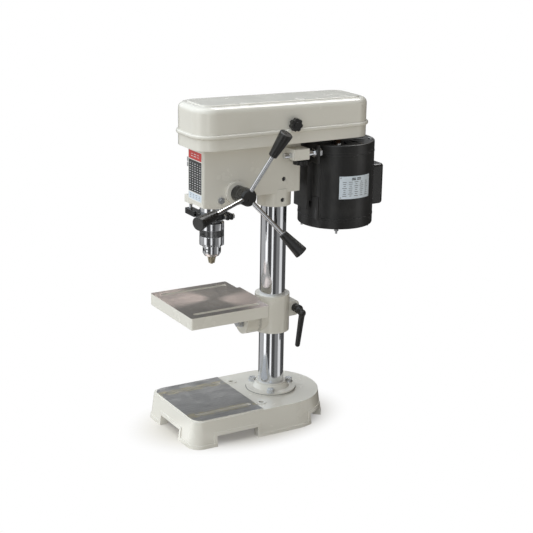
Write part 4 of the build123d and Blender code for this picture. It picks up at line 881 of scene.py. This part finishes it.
def ring(name, radii, z, finish, body, move, bevel=0.3, steps=48):
    """A washer about Z with slightly broken edges, in millimetres."""
    (inner, outer), (low, high) = radii, z
    profile = [(inner, low), (outer, low), (outer, high - bevel), (outer - bevel, high),
               (inner + bevel, high), (inner, high - bevel)]
    count, turns = len(profile), [math.tau * step / steps for step in range(steps)]
    points = [(r * math.cos(turn) * MM, r * math.sin(turn) * MM, h * MM)
              for turn in turns for r, h in profile]
    faces = [(s * count + i, (s + 1) % steps * count + i, (s + 1) % steps * count + (i + 1) % count,
              s * count + (i + 1) % count) for s in range(steps) for i in range(count)]
    made = mesh_object(name, points, faces, finish)
    made.data.transform(move)
    return finish_piece(made, body)


# %% Marks wrapped on a cylinder
SHORTEST_DASH = 0.4


def wrapped_marks(name, round_ones):
    """A grid of lines of uneven length, or of round heads, bent about Z."""
    builder, given = group(name, Columns=1, Rows=1, Sweep=0.1, Height=0.1, Radius=0.1,
                           Mark=(1, 1, 1), Seed=1)
    grid = flat_grid(builder, given["Sweep"], given["Height"], given["Columns"], given["Rows"])
    spot = builder.add("GeometryNodeInputPosition")
    angle = builder.part(spot, "X")
    bent = axes(builder, X=given["Radius"] * angle.math("COSINE"),
                Y=given["Radius"] * angle.math("SINE"), Z=builder.part(spot, "Y"))
    points = builder.add("GeometryNodeSetPosition", {}, {"Geometry": grid, "Position": bent})
    here = builder.part(spot, "Y").math("ARCTAN2", builder.part(spot, "X"))
    length = random_share(builder, 1.0 if round_ones else SHORTEST_DASH, given["Seed"])
    if round_ones:
        mark = builder.add("GeometryNodeMeshUVSphere", {}, {"Segments": 12, "Rings": 6, "Radius": 0.5})
        mark = builder.add("GeometryNodeTransform", {}, {"Geometry": mark, "Scale": given["Mark"]})
    else:
        mark = builder.add("GeometryNodeMeshCube", {}, {"Size": given["Mark"]})
    marks = spread(builder, points, mark, Rotation=axes(builder, Z=here),
                   Scale=axes(builder, X=1.0, Y=length, Z=1.0))
    return end_group(builder, marks, given["Finish"])


wrapped_lines = wrapped_marks("wrapped_lines", False)
wrapped_heads = wrapped_marks("wrapped_heads", True)

# %% The motor's pieces
PLATE_ANGLES, PLATE_Z, PLATE_RADII = (-28.0, 26.0), (407.0, 448.0), (67.7, 68.4)
INK_R, RIVET_R = 68.42 * MM, 68.45 * MM
PLATE_MIDDLE = moved(0, MOTOR_Y, sum(PLATE_Z) / 2, sum(PLATE_ANGLES) / 2, "Z")
curved_plate("motor_plate_print", PLATE_ANGLES, PLATE_Z, PLATE_RADII, label_pale, "motor")
DASHES = (("motor_plate_lines", -2.5, (5, 8), 38, 25, (0.1, 8.6, 0.8), 7),
          ("motor_plate_title", 15.5, (2, 2), 9, 2.6, (0.1, 9, 1.5), 3))
for name, rise, (columns, rows), sweep, tall, dash, seed in DASHES:
    repeated(name, wrapped_lines, "motor", "black_plastic", ink_black,
             PLATE_MIDDLE @ Matrix.Translation((0, 0, rise * MM)), Columns=columns, Rows=rows,
             Sweep=math.radians(sweep), Height=tall * MM, Radius=INK_R,
             Mark=tuple(side * MM for side in dash), Seed=seed)
RIVET_SWEEP, RIVET_SPREAD, RIVET_SIZE = math.radians(50), 36 * MM, (1.2 * MM, 2.6 * MM, 2.6 * MM)
repeated("motor_plate_rivets", wrapped_heads, "motor", "zinc_steel", zinc, PLATE_MIDDLE, Columns=2,
         Rows=2, Sweep=RIVET_SWEEP, Height=RIVET_SPREAD, Radius=RIVET_R, Mark=RIVET_SIZE, Seed=1)
SHELL_LOW, SHELL_HIGH = (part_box("motor_shell")[i].z / MM for i in (0, 1))
PRESSINGS = (("motor_lap_seam", (-58.0, -56.2), (SHELL_LOW + 1, SHELL_HIGH - 1), (67.6, 68.5),
              black_enamel),
             ("motor_rib", (-70.0, -59.0), (SHELL_LOW + 1, 408.0), (67.6, 69.4), black_enamel),
             # a black patch on the rib paints the shade inside its slot
             ("motor_rib_slot", (-67.0, -62.0), (369.0, 388.0), (68.0, 69.5), ink_black))
for name, angles, levels, radii, finish in PRESSINGS:
    curved_plate(name, angles, levels, radii, finish, "motor")
RIM_RADII, RIM_HEIGHT, RIM_BEVEL, FINE_STEPS = (67.7, 68.5), 2.2, 0.6, 96
for name, level in (("motor_rim_band_top", SHELL_HIGH - 6.0), ("motor_rim_band_low", SHELL_LOW + 3.0)):
    ring(name, RIM_RADII, (level, level + RIM_HEIGHT), black_enamel, "motor",
         moved(0, MOTOR_Y, 0), RIM_BEVEL, FINE_STEPS)

# %% [markdown]
# ## Small rings and teeth
# A few small things finish the outline: the gear teeth round the lower rim of the chuck's sleeve
# that its key turns, with a dark ring behind them as painted shade in their gaps, a dark ring at each
# of the key's holes as painted shade inside it, a dark ring under the column's flange as painted
# shade in the gap there, a ring round each switch button, and the marks above them, a bar for start
# and a ring for stop.

# %% Rings and teeth
TEETH, TOOTH_R, TOOTH_BLOCK = 32, 20.3, (1.8 * MM, 2.0 * MM, 3.8 * MM)
repeated("chuck_teeth", arc_tree, "chuck_sleeve", "polished_steel", chuck_steel,
         moved(0, SPINDLE_Y, SLEEVE_BOTTOM + 2.0), Count=TEETH, Radius=TOOTH_R * MM, Start=0.0,
         Step=math.tau / TEETH, Block=TOOTH_BLOCK, Every=1, Longer=1.0)
# a dark ring behind the teeth paints the shade in the gaps between them
ring("chuck_tooth_gap_painted_shade", (TOOTH_R - 1.0, TOOTH_R + 0.35), (SLEEVE_BOTTOM + 0.1, SLEEVE_BOTTOM + 3.9),
     blackened, "chuck_sleeve", moved(0, SPINDLE_Y, 0), 0.2)
KEY_HOLE_RADII, KEY_HOLE_DEPTHS, KEY_HOLE_Z = (2.2, 4.0), (15.2, 16.2), 329.0
OUTWARDS = Matrix.Rotation(math.pi / 2, 4, "Y")
# a dark ring at each key hole paints the shade inside the hole
for hole in range(3):
    ring(f"chuck_key_hole_painted_shade_{hole + 1}", KEY_HOLE_RADII, KEY_HOLE_DEPTHS, blackened, "spindle",
         moved(0, SPINDLE_Y, KEY_HOLE_Z, 60 + 120 * hole, "Z") @ OUTWARDS)
# a thin black ring under the flange paints the shade in the gap between flange and base
JOINT_RADII, JOINT_Z = (45.3, 46.3), (49.4, 49.8)
ring("flange_gap_painted_shade", JOINT_RADII, JOINT_Z, ink_black, "frame", moved(0, 0, 0), 0.1,
     FINE_STEPS)

# %% Rings, marks and screws on the switch box
BOX_FACE, MARK_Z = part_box("switch_box")[0].x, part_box("switch_box")[1].z - 7 * MM
STOP_Y, START_Y = ((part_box(n)[0].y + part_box(n)[1].y) / 2 for n in ("stop_button", "start_button"))


def on_box(y, z):
    """A place on the switch box's face, looking away from it, in metres."""
    return Matrix.Translation((BOX_FACE, y, z)) @ Matrix.Rotation(-math.pi / 2, 4, "Y")


BEZEL_GAP, BEZEL_WIDTH, BEZEL_HEIGHT = 0.4, 2.0, (0.0, 1.4)
for name in ("stop_button", "start_button"):
    low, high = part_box(name)
    middle, inner = (low + high) / 2, (high.z - low.z) / 2 / MM + BEZEL_GAP
    ring(name + "_ring", (inner, inner + BEZEL_WIDTH), BEZEL_HEIGHT, alloy, "frame",
         on_box(middle.y, middle.z))
MARK_HEIGHT, BAR_HALF_WIDTH, BAR_HALF_HEIGHT, BAR_CORNER = 0.15, 0.4, 2.5, 0.2
ring("stop_mark", (1.8, 2.5), (0.0, MARK_HEIGHT), ink_white, "frame",
     on_box(STOP_Y, MARK_Z), 0.05)
BAR_X, BAR_Z = -START_Y / MM, MARK_Z / MM
sheet_plate("start_mark", (BAR_X - BAR_HALF_WIDTH, BAR_X + BAR_HALF_WIDTH),
            (BAR_Z - BAR_HALF_HEIGHT, BAR_Z + BAR_HALF_HEIGHT), BOX_FACE / MM, MARK_HEIGHT, BAR_CORNER,
            ink_white, "frame", TO_LEFT)
SCREWS_MIDDLE, SCREW_SPREAD, SCREW_R, SCREW_RISE = (33 * MM, BOX_FACE, 457 * MM), (54, 44), 2.2, 1.0
repeated("switch_box_screws", heads_tree, "frame", "zinc_steel", zinc,
         TO_LEFT @ Matrix.Translation(SCREWS_MIDDLE), Width=SCREW_SPREAD[0] * MM,
         Height=SCREW_SPREAD[1] * MM, Radius=SCREW_R * MM, Rise=SCREW_RISE * MM)

# %% [markdown]
